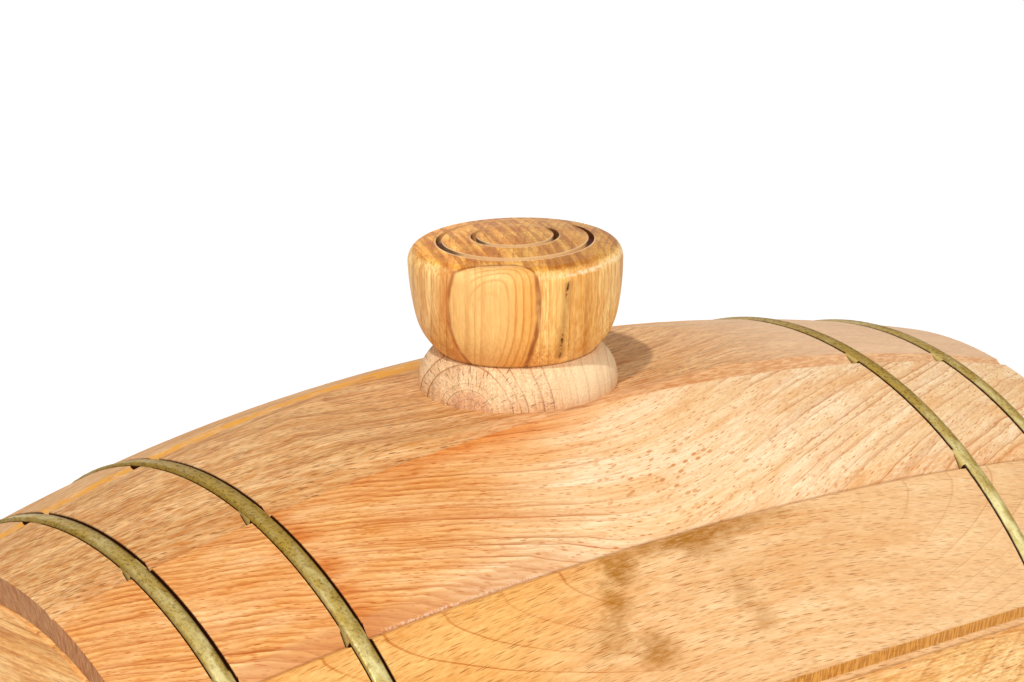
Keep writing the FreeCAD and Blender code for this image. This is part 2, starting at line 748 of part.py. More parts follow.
def make_tap_body():
    """The tap's turned body: tail, flange, belly around the key, and a nose over the spout."""
    body = new_body("tap_body", **TAP_PLACE)
    section = new_sketch(body, "YZ_Plane", "section")
    neck = size("tap_neck_radius")
    nose = size("tap_nose_radius")
    points = [
        (TAIL_LENGTH, "0"),
        (TAIL_LENGTH, size("tail_tip_radius")),
        ("0", size("tail_radius")),
        ("0", size("flange_radius")),
        (f"-{size('flange_thickness')}", size("flange_radius")),
        (f"-{size('flange_thickness')}", neck),
        (f"-{TAP_BELLY_START}", neck),
        (f"-{TAP_NOSE_START}", neck),
        (f"-{TAP_NOSE_START}", nose),
        (f"-{TAP_NOSE_END}", nose),
        (f"-{TAP_TIP}", size("tap_cap_radius")),
        (f"-{TAP_TIP}", "0"),
    ]
    arcs = {
        3: bulge(points, 3, size("flange_bulge"), -1),
        6: bulge(points, 6, size("tap_belly_rise"), -1),
        9: bulge(points, 9, size("tap_cap_bulge"), -1),
    }
    # The outline runs from the tail towards the nose with the wood on its left, so its
    # rounds bulge to the right.
    add_loop(section, "body", points, arcs)
    revolve(body, section, "H_Axis")
    bore = new_sketch(body, "YZ_Plane", "flow")
    flow = size("flow_radius")
    add_box(bore, "flow", (f"-({SPOUT_STATION} + {flow})", "0"), (f"({TAIL_LENGTH} + {CUT_PAST})", flow))
    turn_groove(body, bore, "H_Axis")
    key_hole = new_sketch(body, "XY_Plane", "key_hole")
    add_circle(key_hole, "key_hole", ("0", f"-{KEY_STATION}"), LINER_RADIUS)
    cut_through(body, key_hole)
    # The spout's tenon goes up into the flow, and its bead seats in a flat counterbore.
    for label, depth, radius in (
            ("spout_hole", "0", f"({SPOUT_TENON} + {size('spout_fit')})"),
            ("spout_seat", f"-{SPOUT_SEAT}", f"({size('spout_bead_radius')} + {size('spout_rim_gap')})")):
        hole = new_sketch(body, "XY_Plane", label, ("0", "0", depth))
        add_circle(hole, label, ("0", f"-{SPOUT_STATION}"), radius)
        cut_through(body, hole, side="One side")
    return body


def make_cork_liner():
    """The cork sleeve that seals the key: straight outside, tapered inside, bored for the flow."""
    body = new_body("tap_cork_liner", **KEY_PLACE)
    section = new_sketch(body, "XZ_Plane", "section")
    outside = f"({LINER_RADIUS} - {size('liner_fit')})"
    low = f"({key_radius_at('-' + LINER_HALF)} + {size('key_running_gap')})"
    high = f"({key_radius_at(LINER_HALF)} + {size('key_running_gap')})"
    points = [(low, f"-{LINER_HALF}"), (outside, f"-{LINER_HALF}"), (outside, LINER_HALF), (high, LINER_HALF)]
    add_loop(section, "sleeve", points)
    revolve(body, section, "V_Axis")
    bore = new_sketch(body, "XZ_Plane", "flow")
    add_circle(bore, "flow", ("0", "0"), size("flow_radius"))
    cut_through(body, bore)
    return body


def make_key():
    """The tap key: tapered plug, shoulder and ball. Its cross hole lies across the flow when shut."""
    body = new_body("tap_key", **KEY_PLACE)
    section = new_sketch(body, "XZ_Plane", "section")
    neck = size("key_neck_radius")
    ball = size("key_ball_radius")
    plug_end = f"({TAP_BELLY} + {size('key_running_gap')})"
    tail = f"({plug_end} + {size('key_tail_reach')})"
    points = [
        ("0", f"-{tail}"),
        (size("key_tail_radius"), f"-{tail}"),
        (key_radius_at(f"-{plug_end}"), f"-{plug_end}"),
        (key_radius_at(SHOULDER_LOW), SHOULDER_LOW),
        (size("key_shoulder_radius"), SHOULDER_LOW),
        (size("key_shoulder_radius"), SHOULDER_HIGH),
        (neck, SHOULDER_HIGH),
        (neck, BALL_LOW),
        (ball, BALL_HEIGHT),
        ("0", f"({BALL_HEIGHT} + {ball})"),
    ]
    arcs = {4: bulge(points, 4, size("key_shoulder_bulge"), -1), 7: (ball, -1), 8: (ball, -1)}
    add_loop(section, "key", points, arcs)
    revolve(body, section, "V_Axis")
    for label, height, radius in (
            ("cross_hole", "0", size("key_hole_radius")),
            ("handle_hole", BALL_HEIGHT, f"({size('handle_radius')} + {size('handle_fit')})")):
        hole = new_sketch(body, "YZ_Plane", label)
        add_circle(hole, label, ("0", height), radius)
        cut_through(body, hole)
    return body


def make_handle():
    """The cross bar through the key's ball. It lies across the flow when the tap is shut."""
    body = new_body("tap_handle", along=KEY_PLACE["along"], up=f"({TAP_HEIGHT} + {BALL_HEIGHT})")
    section = new_sketch(body, "XZ_Plane", "section")
    half = size("handle_half_length")
    radius = size("handle_radius")
    tip = size("handle_tip_round")
    points = [
        (f"-{half}", "0"),
        (half, "0"),
        (half, f"({radius} - {tip})"),
        (f"({half} - {tip})", radius),
        (f"-({half} - {tip})", radius),
        (f"-{half}", f"({radius} - {tip})"),
    ]
    add_loop(section, "bar", points, {2: (tip, -1), 4: (tip, -1)})
    revolve(body, section, "H_Axis")
    return body


def make_spout():
    """The turned spout: a tenon glued into the nose, a bead that swells below it, and a stem."""
    body = new_body("tap_spout", **SPOUT_PLACE)
    section = new_sketch(body, "XZ_Plane", "section")
    flow = size("flow_radius")
    tenon_top = f"-({flow} + {size('spout_seat_gap')})"
    seat = f"-{SPOUT_SEAT}"
    rim = f"-{size('tap_nose_radius')}"
    bead_end = f"-({size('tap_nose_radius')} + {size('spout_bead_height')})"
    tip = f"-{size('spout_reach')}"
    bead = size("spout_bead_radius")
    points = [
        (flow, tip),
        (size("spout_tip_radius"), tip),
        (size("spout_stem_radius"), bead_end),
        (bead, bead_end),
        (bead, rim),
        (bead, seat),
        (SPOUT_TENON, seat),
        (SPOUT_TENON, tenon_top),
        (flow, tenon_top),
    ]
    add_loop(section, "spout", points, {3: bulge(points, 3, size("spout_bead_bulge"), -1)})
    revolve(body, section, "V_Axis")
    return body


# ---------------------------------------------------------------------------
# Cradle
# ---------------------------------------------------------------------------

# Heights here are measured from the cask's axis, and stations from its mid length.
SADDLE_FLOOR = f"(-({AXIS_HEIGHT} - {size('foot_height')}))"
SADDLE_OUTER = f"({INNER_HOOP} - {size('hoop_width')} / 2 - {size('saddle_hoop_gap')})"
SADDLE_INNER = f"({SADDLE_OUTER} - {size('saddle_thickness')})"
SADDLE_STATION = f"(({SADDLE_OUTER} + {SADDLE_INNER}) / 2)"
BED_RADIUS = f"({surface_radius(SADDLE_STATION)} + {size('cradle_gap')})"
HORN_INSIDE = f"sqrt({BED_RADIUS}^2 - {size('saddle_horn_drop')}^2)"
SADDLE_TOP_HALF = f"({HORN_INSIDE} + {size('saddle_horn_width')})"
SADDLE_FOOT_HALF = f"({SADDLE_TOP_HALF} + {size('saddle_splay')})"
FOOT_ACROSS = f"({SADDLE_FOOT_HALF} - {size('foot_inset')})"
ARCH_HALF = f"({FOOT_ACROSS} - {size('foot_radius')} - {size('arch_margin')})"
RAIL_ACROSS = f"({SADDLE_FOOT_HALF} - {size('rail_inset')})"
RAIL_LEVEL = f"(-({AXIS_HEIGHT} - {size('rail_height')}))"
SCREW_HOLE = f"({size('screw_radius')} + {size('screw_fit')})"


def make_saddle(name, end):
    """A cross board that carries the cask. Its top is hollowed to the cask's own bulge."""
    body = new_body(name)
    board = new_sketch(body, "XZ_Plane", "board", ("0", "0", f"({-end} * {SADDLE_STATION})"))
    horn = f"-{size('saddle_horn_drop')}"
    points = [
        (f"-{SADDLE_FOOT_HALF}", SADDLE_FLOOR),
        (f"-{ARCH_HALF}", SADDLE_FLOOR),
        (ARCH_HALF, SADDLE_FLOOR),
        (SADDLE_FOOT_HALF, SADDLE_FLOOR),
        (SADDLE_TOP_HALF, horn),
        (f"-{SADDLE_TOP_HALF}", horn),
    ]
    add_loop(board, "board", points, {1: bulge(points, 1, size("arch_rise"), 1)})
    blank = pad(body, board, size("saddle_thickness"))
    DOC.recompute()
    # The four long edges down the board's sides are rounded before the hollow is turned.
    side_middle = (value_of(SADDLE_FLOOR) + value_of(horn)) / 2
    sides = edges_of(blank, lambda edge, middle: abs(middle.z - side_middle) < SAME_PLACE)
    fillet(body, blank, sides, size("saddle_edge_round"))
    hollow = new_sketch(body, "YZ_Plane", "hollow")
    chime = f"({size('chime_radius')} + {size('cradle_gap')})"
    bed = [
        (f"-{HALF_LENGTH}", "0"),
        (HALF_LENGTH, "0"),
        (HALF_LENGTH, chime),
        (f"-{HALF_LENGTH}", chime),
    ]
    add_loop(hollow, "hollow", bed, {2: (STAVE_ARC, -1)})
    turn_groove(body, hollow, "H_Axis")
    holes = new_sketch(body, "XZ_Plane", "screw_holes")
    for label, side in (("left", -1), ("right", 1)):
        add_circle(holes, label, (f"({side} * {RAIL_ACROSS})", RAIL_LEVEL), SCREW_HOLE)
    cut_through(body, holes)
    return body


def make_rail(name, side):
    """A rail that ties the two saddles together, with a pilot hole in each end."""
    body = new_body(name, across=f"({side} * {RAIL_ACROSS})", up=size("rail_height"))
    section = new_sketch(body, "XZ_Plane", "section")
    half_width = f"({size('rail_width')} / 2)"
    half_depth = f"({size('rail_depth')} / 2)"
    add_box(section, "rail", (f"-{half_width}", f"-{half_depth}"), (half_width, half_depth))
    blank = pad(body, section, f"(2 * {SADDLE_INNER})")
    DOC.recompute()
    long_edges = edges_of(blank, lambda edge, middle: abs(middle.y) < SAME_PLACE)
    fillet(body, blank, long_edges, size("rail_edge_round"))
    depth = f"({size('screw_grip')} + {size('screw_hole_spare')})"
    for label, end in (("front", -1), ("rear", 1)):
        hole = new_sketch(body, "XZ_Plane", f"{label}_pilot", ("0", "0", f"({-end} * {SADDLE_INNER})"))
        add_circle(hole, label, ("0", "0"), SCREW_HOLE)
        cut_blind(body, hole, depth, reverse=end > 0)
    return body


def mirror_to_corners(body, feature):
    """Repeats a feature at all four corners of the cradle."""
    corners = body.newObject("PartDesign::MultiTransform", f"{body.Name}_corners")
    corners.Originals = [feature]
    planes = []
    for role in ("YZ_Plane", "XZ_Plane"):
        mirror = body.newObject("PartDesign::Mirrored", f"{body.Name}_over_{role}")
        plane = next(item for item in body.Origin.OriginFeatures if item.Role == role)
        mirror.MirrorPlane = (plane, [""])
        planes.append(mirror)
    corners.Transformations = planes
    body.Tip = corners


def make_screws():
    """Four round-headed brass screws, through the saddles into the ends of the rails."""
    body = new_body("cradle_screws", up=size("rail_height"))
    section = new_sketch(body, "YZ_Plane", "section", ("0", "0", RAIL_ACROSS))
    head = size("screw_head_radius")
    rise = size("screw_head_height")
    tip = f"({SADDLE_INNER} - {size('screw_grip')})"
    point = f"({tip} + {size('screw_point_length')})"
    points = [
        (tip, "0"),
        (f"({SADDLE_OUTER} + {rise})", "0"),
        (SADDLE_OUTER, head),
        (SADDLE_OUTER, size("screw_radius")),
        (point, size("screw_radius")),
    ]
    add_loop(section, "screw", points, {1: (f"(({head}^2 + {rise}^2) / (2 * {rise}))", -1)})
    screw = revolve(body, section, "H_Axis")
    mirror_to_corners(body, screw)
    return body


def make_feet():
    """Four round rubber feet under the saddles' ends."""
    body = new_body("cradle_feet", up="0")
    section = new_sketch(body, "XZ_Plane", "section", (FOOT_ACROSS, "0", f"-{SADDLE_STATION}"))
    radius = size("foot_radius")
    height = size("foot_height")
    edge = size("foot_chamfer")
    points = [
        ("0", "0"),
        (f"({radius} - {edge})", "0"),
        (radius, edge),
        (radius, height),
        ("0", height),
    ]
    add_loop(section, "foot", points)
    foot = revolve(body, section, "V_Axis")
    mirror_to_corners(body, foot)
    return body


# ---------------------------------------------------------------------------
# The whole dispenser
# ---------------------------------------------------------------------------

def build():
    pieces = make_staves() + make_heads()
    for name, (station, sign) in HOOP_PLACES.items():
        pieces.append(make_hoop(name, station, sign))
    pieces += [make_collar(), make_knob(), make_cork()]
    pieces += [make_washer(), make_tap_body(), make_cork_liner(), make_key(), make_handle(), make_spout()]
    pieces += [make_saddle("front_saddle", -1), make_saddle("rear_saddle", 1)]
    pieces += [make_rail("left_rail", -1), make_rail("right_rail", 1)]
    pieces += [make_screws(), make_feet()]
    DOC.recompute()
    return pieces


def check(pieces):
    """Stops if any object failed, or a piece has no valid solid."""
    for item in DOC.Objects:
        if "Invalid" in item.State or "Error" in item.State:
            raise RuntimeError(f"{item.Label} failed: {item.State}")
    for piece in pieces:
        if piece.Shape.isNull() or not piece.Shape.isValid() or not piece.Shape.Solids:
            raise RuntimeError(f"{piece.Label} has no valid solid")


def write(pieces):
    os.makedirs("parts", exist_ok=True)
    for piece in pieces:
        piece.Shape.exportStep(f"parts/{piece.Label}.step")


PIECES = build()
check(PIECES)
write(PIECES)
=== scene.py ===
"""Looks of the small cask dispenser: camera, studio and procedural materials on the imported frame."""
import math

import bpy
from mathutils import Matrix, Vector


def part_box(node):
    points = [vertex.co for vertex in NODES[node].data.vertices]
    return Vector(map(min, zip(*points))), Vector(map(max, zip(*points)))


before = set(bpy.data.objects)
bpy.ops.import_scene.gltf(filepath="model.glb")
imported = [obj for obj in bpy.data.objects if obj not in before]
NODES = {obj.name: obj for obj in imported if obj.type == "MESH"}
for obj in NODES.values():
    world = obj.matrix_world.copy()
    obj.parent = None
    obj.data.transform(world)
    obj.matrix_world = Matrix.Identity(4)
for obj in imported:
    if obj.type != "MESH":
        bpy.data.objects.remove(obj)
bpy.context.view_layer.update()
MM = 0.001
ACROSS = (1.0, 0.0, 0.0)
LENGTHWISE = (0.0, 1.0, 0.0)
FRONTWARD = (0.0, -1.0, 0.0)
UPWARD = (0.0, 0.0, 1.0)

# ---------- Camera ----------

CAMERA_PLACE = (0.61702, -0.41756, 0.53587)
CAMERA_HEADING = 144.013
CAMERA_PITCH = 16.8
CAMERA_ROLL = -1.371
CAMERA_LENS = 120.2
SENSOR_WIDTH = 36.0
NEAREST_SEEN = 0.05
FARTHEST_SEEN = 50.0


def make_camera():
    data = bpy.data.cameras.new("camera")
    data.lens = CAMERA_LENS
    data.sensor_width = SENSOR_WIDTH
    data.clip_start = NEAREST_SEEN
    data.clip_end = FARTHEST_SEEN
    camera = bpy.data.objects.new("camera", data)
    turn = Matrix.Rotation(math.radians(CAMERA_HEADING - 90.0), 4, "Z")
    turn = turn @ Matrix.Rotation(math.radians(90.0 - CAMERA_PITCH), 4, "X")
    turn = turn @ Matrix.Rotation(math.radians(CAMERA_ROLL), 4, "Z")
    camera.matrix_world = Matrix.Translation(CAMERA_PLACE) @ turn
    bpy.context.scene.collection.objects.link(camera)
    bpy.context.scene.camera = camera


make_camera()

# ---------- Node trees ----------

# How much red, green and blue follow a wood's tone.
WOOD_TONE = (0.45, 1.0, 1.6)

# Sockets of the Mix node when it mixes colours.
MIX_FACTOR = 0
MIX_FIRST = 6
MIX_SECOND = 7
MIX_RESULT = 2


def srgb(red, green, blue):
    """A colour given as it looks on screen, 0 to 255, in the linear values that shaders take."""
    linear = []
    for value in (red, green, blue):
        share = value / 255.0
        linear.append(share / 12.92 if share <= 0.04045 else ((share + 0.055) / 1.055) ** 2.4)
    return tuple(linear)


class Graph:
    """One node tree, with short calls that add nodes and return an output socket."""

    def __init__(self, name, owner=None):
        self.owner = owner or bpy.data.materials.new(name)
        self.owner.use_nodes = True
        self.tree = self.owner.node_tree
        self.tree.nodes.clear()

    def feed(self, socket, value):
        if isinstance(value, bpy.types.NodeSocket):
            self.tree.links.new(value, socket)
            return
        if socket.type == "RGBA" and len(value) == 3:
            value = (*value, 1.0)
        socket.default_value = value

    def node(self, kind, inputs=None, **settings):
        made = self.tree.nodes.new(kind)
        for key, value in settings.items():
            setattr(made, key, value)
        for key, value in (inputs or {}).items():
            self.feed(made.inputs[key], value)
        return made

    def math(self, operation, *values):
        return self.node("ShaderNodeMath", dict(enumerate(values)), operation=operation).outputs[0]

    def add(self, a, b):
        return self.math("ADD", a, b)

    def sub(self, a, b):
        return self.math("SUBTRACT", a, b)

    def mul(self, a, b):
        return self.math("MULTIPLY", a, b)

    def larger(self, a, b):
        return self.math("MAXIMUM", a, b)

    def absolute(self, value):
        return self.math("ABSOLUTE", value)

    def length(self, a, b):
        """The long side of a triangle with a right angle between a and b."""
        return self.math("SQRT", self.add(self.mul(a, a), self.mul(b, b)))

    def vector(self, operation, *values):
        made = self.node("ShaderNodeVectorMath", operation=operation)
        for index, value in enumerate(values):
            target = made.inputs["Scale"] if operation == "SCALE" and index == 1 else made.inputs[index]
            self.feed(target, value)
        return made.outputs["Value" if operation == "DOT_PRODUCT" else "Vector"]

    def combine(self, x, y, z):
        return self.node("ShaderNodeCombineXYZ", {0: x, 1: y, 2: z}).outputs[0]

    def separate(self, vector):
        return self.node("ShaderNodeSeparateXYZ", {0: vector}).outputs

    def here(self):
        """The place on the object at rest, in mm."""
        return self.vector("SCALE", self.node("ShaderNodeTexCoord").outputs["Object"], 1.0 / MM)

    def stretch(self, vector, cell):
        """The vector in units of a cell, so that a texture's cells get that size in mm."""
        return self.vector("MULTIPLY", vector, tuple(1.0 / side for side in cell)) if cell else vector

    def smooth(self, value, low, high, start=0.0, end=1.0):
        """A soft step of value from low to high."""
        inputs = {0: value, 1: low, 2: high, 3: start, 4: end}
        return self.node("ShaderNodeMapRange", inputs, interpolation_type="SMOOTHSTEP").outputs[0]

    def band(self, value, rise, fall):
        """1 between two soft steps, each given by where it begins and where it is done."""
        return self.mul(self.smooth(value, *rise), self.smooth(value, *fall))

    def noise(self, vector, cell=None, detail=2.0, roughness=0.5, output="Fac"):
        """Clouds of about the cell's size."""
        inputs = {"Vector": self.stretch(vector, cell), "Scale": 1.0}
        inputs.update(Detail=detail, Roughness=roughness)
        return self.node("ShaderNodeTexNoise", inputs).outputs[output]

    def cells(self, vector, cell=None):
        """Scattered points, one to a cell: the distance to the nearest, and a colour for each."""
        inputs = {"Vector": self.stretch(vector, cell), "Scale": 1.0}
        return self.node("ShaderNodeTexVoronoi", inputs).outputs

    def mix(self, factor, a, b, blend="MIX"):
        made = self.node("ShaderNodeMix", data_type="RGBA", blend_type=blend)
        made.clamp_factor = True
        self.feed(made.inputs[MIX_FACTOR], factor)
        self.feed(made.inputs[MIX_FIRST], a)
        self.feed(made.inputs[MIX_SECOND], b)
        return made.outputs[MIX_RESULT]

    def paint(self, colour, other, mask, share, blend="MIX"):
        """The colour, with a share of the other one where the mask is 1."""
        return self.mix(self.mul(mask, share), colour, other, blend)

    def scale_colour(self, colour, amount):
        """A colour made darker or lighter by a number."""
        return self.vector("SCALE", colour, amount)

    def shade_wood(self, colour, tone):
        """Wood a little lighter or darker: darker wood is also more orange, paler wood whiter."""
        shares = [self.add(1.0, self.mul(tone, share)) for share in WOOD_TONE]
        return self.vector("MULTIPLY", colour, self.combine(*shares))

    def bump(self, height, strength, distance):
        """A normal from a height that is 0 to 1 over a distance in mm."""
        inputs = {"Height": height, "Strength": strength, "Distance": distance * MM}
        return self.node("ShaderNodeBump", inputs).outputs[0]

    def finish(self, **values):
        """The surface's own shader, with each value on its socket."""
        inputs = {key.replace("_", " "): value for key, value in values.items()}
        shader = self.node("ShaderNodeBsdfPrincipled", inputs)
        self.node("ShaderNodeOutputMaterial", {"Surface": shader.outputs[0]})
        return self.owner


# ---------- Wood ----------

# The cask, as part.py builds it, in mm.
CASK_AXIS = Vector((0.0, 32.05, 185.0))
CASK_HALF = 137.0
BELLY_RADIUS = 114.0
BELLY_RISE = 19.5
ARC_RADIUS = (CASK_HALF ** 2 + BELLY_RISE ** 2) / (2.0 * BELLY_RISE)

# A step of one in a piece's seed moves it this far through the textures.
SEED_STEP = (3.1, 17.0, 1.7)
HALF_GREY = (0.5, 0.5, 0.5)
# Slow and quick waves that bend the rings: cell, detail, and reach for a wander of 1.
RING_WAVES = (((24.0, 60.0, 24.0), 1.0, 2.0), ((5.0, 16.0, 5.0), 2.0, 0.55))
YEAR_DRIFT = 0.22
# The parts of a year in which a ring darkens and in which it ends.
YEAR_DARKENS = (0.2, 0.95)
YEAR_ENDS = (0.97, 1.0)
ARCH_SOFTNESS = 300.0
PATCH_SHIFT = (31.0, 7.0, 3.0)
DRIFT_CELL = (8.0, 55.0, 8.0)
PATCH_CELL = (6.0, 30.0, 6.0)
FADE_CELL = (14.0, 34.0, 14.0)
STREAK_CELL = (1.2, 26.0, 1.2)
FINE_RAY_SHIFT = (40.0, 68.0, 40.0)
FINE_RAY_SCALE = 0.62

# The look of plain beech. Lengths are in mm, across the grain first and then along it.
BEECH = {
    "light": srgb(240, 196, 142),
    "dark": srgb(226, 172, 116),
    "tint": srgb(222, 152, 88),
    "tint_share": 0.35,
    "ring": srgb(188, 118, 62),
    "ring_strength": 0.45,
    "ring_spacing": 1.6,
    # Where the rings' centre line passes, across and below the face, and how far it leans.
    "pith": (6.0, -45.0),
    "tilt": (0.02, 0.05),
    "wander": 1.4,
    # The fibres' bow: slope, place along the piece, and softness. The rings may bow as well.
    "sweep": (0.0, 0.0, 20.0),
    "ring_sweep": 0.0,
    # Where rings are faint: place along the piece, and the distances where they start and are full.
    "calm": (0.0, -2.0, -1.0),
    "dash": srgb(150, 92, 52),
    "dash_strength": 0.6,
    "dash_share": 0.45,
    "dash_size": (0.62, 5.0, 9.0),
    "fibre": 0.4,
    "fibre_size": (0.42, 5.0, 0.5),
    # How dark a ring's early wood is, and where in the year the late wood begins.
    "early": 0.4,
    "late_from": 0.78,
    "years": 2.4,
    # For a flat-sawn board: middle, edge, slope, curve and shift of its arches.
    "arch": None,
    "follow": 0.0,
    "seed": 0.0,
}


def grain_frame(g, origin, along, outward):
    """Places in mm from origin: across the grain, along it, and out of the board's face."""
    along = Vector(along).normalized()
    outward = Vector(outward).normalized()
    across = along.cross(outward)
    here = g.vector("SUBTRACT", g.here(), tuple(origin))
    parts = [g.vector("DOT_PRODUCT", here, tuple(side)) for side in (across, along, outward)]
    return g.combine(*parts)


def facing(g, direction):
    """How far the surface faces a direction of the object, -1 to 1."""
    normal = g.node("ShaderNodeTexCoord").outputs["Normal"]
    return g.vector("DOT_PRODUCT", normal, tuple(direction))


def ray_marks(g, grain, look, offset, scale):
    """Short dashes, some of them stronger than others."""
    across, along, deep = look["dash_size"]
    fleck = g.cells(g.vector("ADD", grain, offset), (across * scale, along * scale, deep))
    share = look["dash_share"]
    some = g.smooth(g.separate(fleck["Color"])[0], share, share * 0.4)
    return g.mul(g.smooth(fleck["Distance"], 0.32, 0.14), some)


def arches(g, x, y, middle, edge, slope, curve, shift):
    """Rings that hang from one edge of a flat-sawn board in wide arches."""
    away = g.sub(y, middle)
    away = g.math("SQRT", g.add(g.mul(away, away), ARCH_SOFTNESS))
    down = g.larger(g.sub(x, edge), 0.0)
    return g.add(g.add(away, shift), g.add(g.mul(down, slope), g.mul(g.mul(down, down), curve)))


def wood(g, place, **changes):
    """The colour and the height of sawn wood. Rings run round a pith line beside the piece."""
    look = {**BEECH, **changes}
    seed = look["seed"]
    shifted = g.vector("ADD", place, tuple(seed * step for step in SEED_STEP))
    # Without their waves the rings would be ruled lines.
    waves = []
    for cell, detail, reach in RING_WAVES:
        wave = g.noise(shifted, cell, detail=detail, output="Color")
        waves.append(g.vector("SCALE", g.vector("SUBTRACT", wave, HALF_GREY), look["wander"] * reach))
    x, y, z = g.separate(g.vector("ADD", place, g.vector("ADD", *waves)))
    # Rings and fibres bow across the piece: straight ones would look ruled as well.
    slope, centre, softness = look["sweep"]
    away = g.sub(y, centre)
    bow = g.sub(g.math("SQRT", g.add(g.mul(away, away), softness * softness)), softness)
    x = g.add(x, g.mul(bow, look["ring_sweep"]))
    # A bent stave's rings follow its belly.
    if look["follow"]:
        drop = g.sub(ARC_RADIUS, g.math("SQRT", g.sub(ARC_RADIUS ** 2, g.mul(y, y))))
        z = g.add(z, g.mul(drop, look["follow"]))
    if look["arch"]:
        radius = arches(g, x, y, *look["arch"])
    else:
        pith_x, pith_z = look["pith"]
        tilt_x, tilt_z = look["tilt"]
        dx = g.sub(g.sub(x, pith_x), g.mul(y, tilt_x))
        dz = g.sub(g.sub(z, pith_z), g.mul(y, tilt_z))
        radius = g.length(dx, dz)
    # Ring widths vary from year to year.
    years = g.noise(g.combine(g.mul(radius, YEAR_DRIFT), seed, 0.0), detail=1.0)
    ring = g.add(g.mul(radius, 1.0 / look["ring_spacing"]), g.mul(years, look["years"]))
    # A ring darkens through its year and ends in a line of late wood.
    phase = g.math("FRACT", ring)
    close = g.smooth(phase, *YEAR_ENDS, 1.0, 0.0)
    early = look["early"]
    line = g.smooth(phase, look["late_from"], YEAR_DARKENS[1], 0.0, 1.0 - early)
    late = g.mul(g.add(g.smooth(phase, *YEAR_DARKENS, 0.0, early), line), close)
    year = g.node("ShaderNodeTexWhiteNoise", {"W": g.math("FLOOR", ring)}, noise_dimensions="1D").outputs[0]
    fade = g.noise(shifted, FADE_CELL)
    late = g.mul(late, g.mul(g.smooth(year, -0.4, 1.0, 0.4, 1.0), g.smooth(fade, 0.3, 0.6, 0.45, 1.0)))
    # Rings are faint where the surface only grazes them.
    calm_centre, calm_from, calm_to = look["calm"]
    late = g.mul(late, g.smooth(g.absolute(g.sub(y, calm_centre)), calm_from, calm_to, 0.2, 1.0))
    plain_x, plain_y, plain_z = g.separate(shifted)
    grain = g.combine(g.add(plain_x, g.mul(bow, slope)), plain_y, plain_z)
    # Colour drifts over the piece.
    drift = g.noise(grain, DRIFT_CELL, detail=4.0, roughness=0.6)
    colour = g.mix(g.smooth(drift, 0.36, 0.64), look["light"], look["dark"])
    patch = g.noise(g.vector("ADD", grain, PATCH_SHIFT), PATCH_CELL, detail=3.0)
    colour = g.paint(colour, look["tint"], g.smooth(patch, 0.46, 0.66), look["tint_share"])
    colour = g.paint(colour, look["ring"], late, look["ring_strength"])
    # Fibres.
    fibre = g.smooth(g.noise(grain, look["fibre_size"], detail=3.0, roughness=0.65), 0.38, 0.62)
    streak = g.smooth(g.noise(grain, STREAK_CELL, detail=3.0, roughness=0.6), 0.36, 0.64)
    fibre_tone = g.mul(g.sub(fibre, 0.5), look["fibre"])
    streak_tone = g.mul(g.sub(streak, 0.5), look["fibre"] * 0.7)
    colour = g.shade_wood(colour, g.add(fibre_tone, streak_tone))
    # Rays: short dashes where the saw ran along the rings.
    coarse = ray_marks(g, grain, look, (0.0, 0.0, 0.0), 1.0)
    fine = g.mul(ray_marks(g, grain, look, FINE_RAY_SHIFT, FINE_RAY_SCALE), 0.8)
    dash = g.larger(coarse, fine)
    colour = g.paint(colour, look["dash"], dash, look["dash_strength"])
    height = g.sub(g.mul(fibre, 0.7), g.mul(dash, 0.5))
    return {"colour": colour, "height": height, "late": late, "radius": radius}


ROUGHNESS_SPREAD = 0.16
WOOD_RELIEF = 0.12


def satin(g, made, roughness=0.6, bump=0.45, gloss=0.07):
    """A waxed wood surface over a colour and height."""
    rough = g.add(roughness - ROUGHNESS_SPREAD / 2.0, g.mul(made["height"], ROUGHNESS_SPREAD))
    normal = g.bump(made["height"], bump, WOOD_RELIEF)
    return g.finish(Base_Color=made["colour"], Roughness=rough, Normal=normal, Specular_IOR_Level=gloss)


# ---------- Staves ----------

# Across the turned pieces, and from their axis to the side with the collar's heart, both level.
RIGHT = Vector((0.588, 0.809, 0.0))
NEAR = Vector((0.808, -0.589, 0.0))
KNOB_AXIS = Vector((0.0, 32.05, 0.0))
COLLAR_SEAT = 295.2
COLLAR_FOOT = 23.2

STAVES = ["bung_stave"] + [f"stave_{number:02d}" for number in range(2, 17)]
BUNG_STAVE_ANGLE = 25.6
PLAIN_STAVE_ANGLE = (360.0 - BUNG_STAVE_ANGLE) / 15.0
# The level that each stave's grain is placed from, in mm from the cask's axis.
STAVE_LEVEL = 112.0
BEVEL_BROAD = 5.0
BEVEL_SOFT = 0.4
BEVEL_LOSS = 2.5 / CASK_HALF ** 2
BEVEL_RAGGED = 2.4
# A surface that faces along the grain by more than this shows end grain, on a stave only past END_FROM.
END_FACE = 0.6
END_FACE_FULL = END_FACE + 0.15
END_FROM = 125.0
END_DARK = srgb(150, 92, 56)
END_LIGHT = srgb(196, 136, 92)
JOINT_LINE = srgb(130, 84, 46)
JOINT_LINE_WIDTHS = (0.45, 0.4)

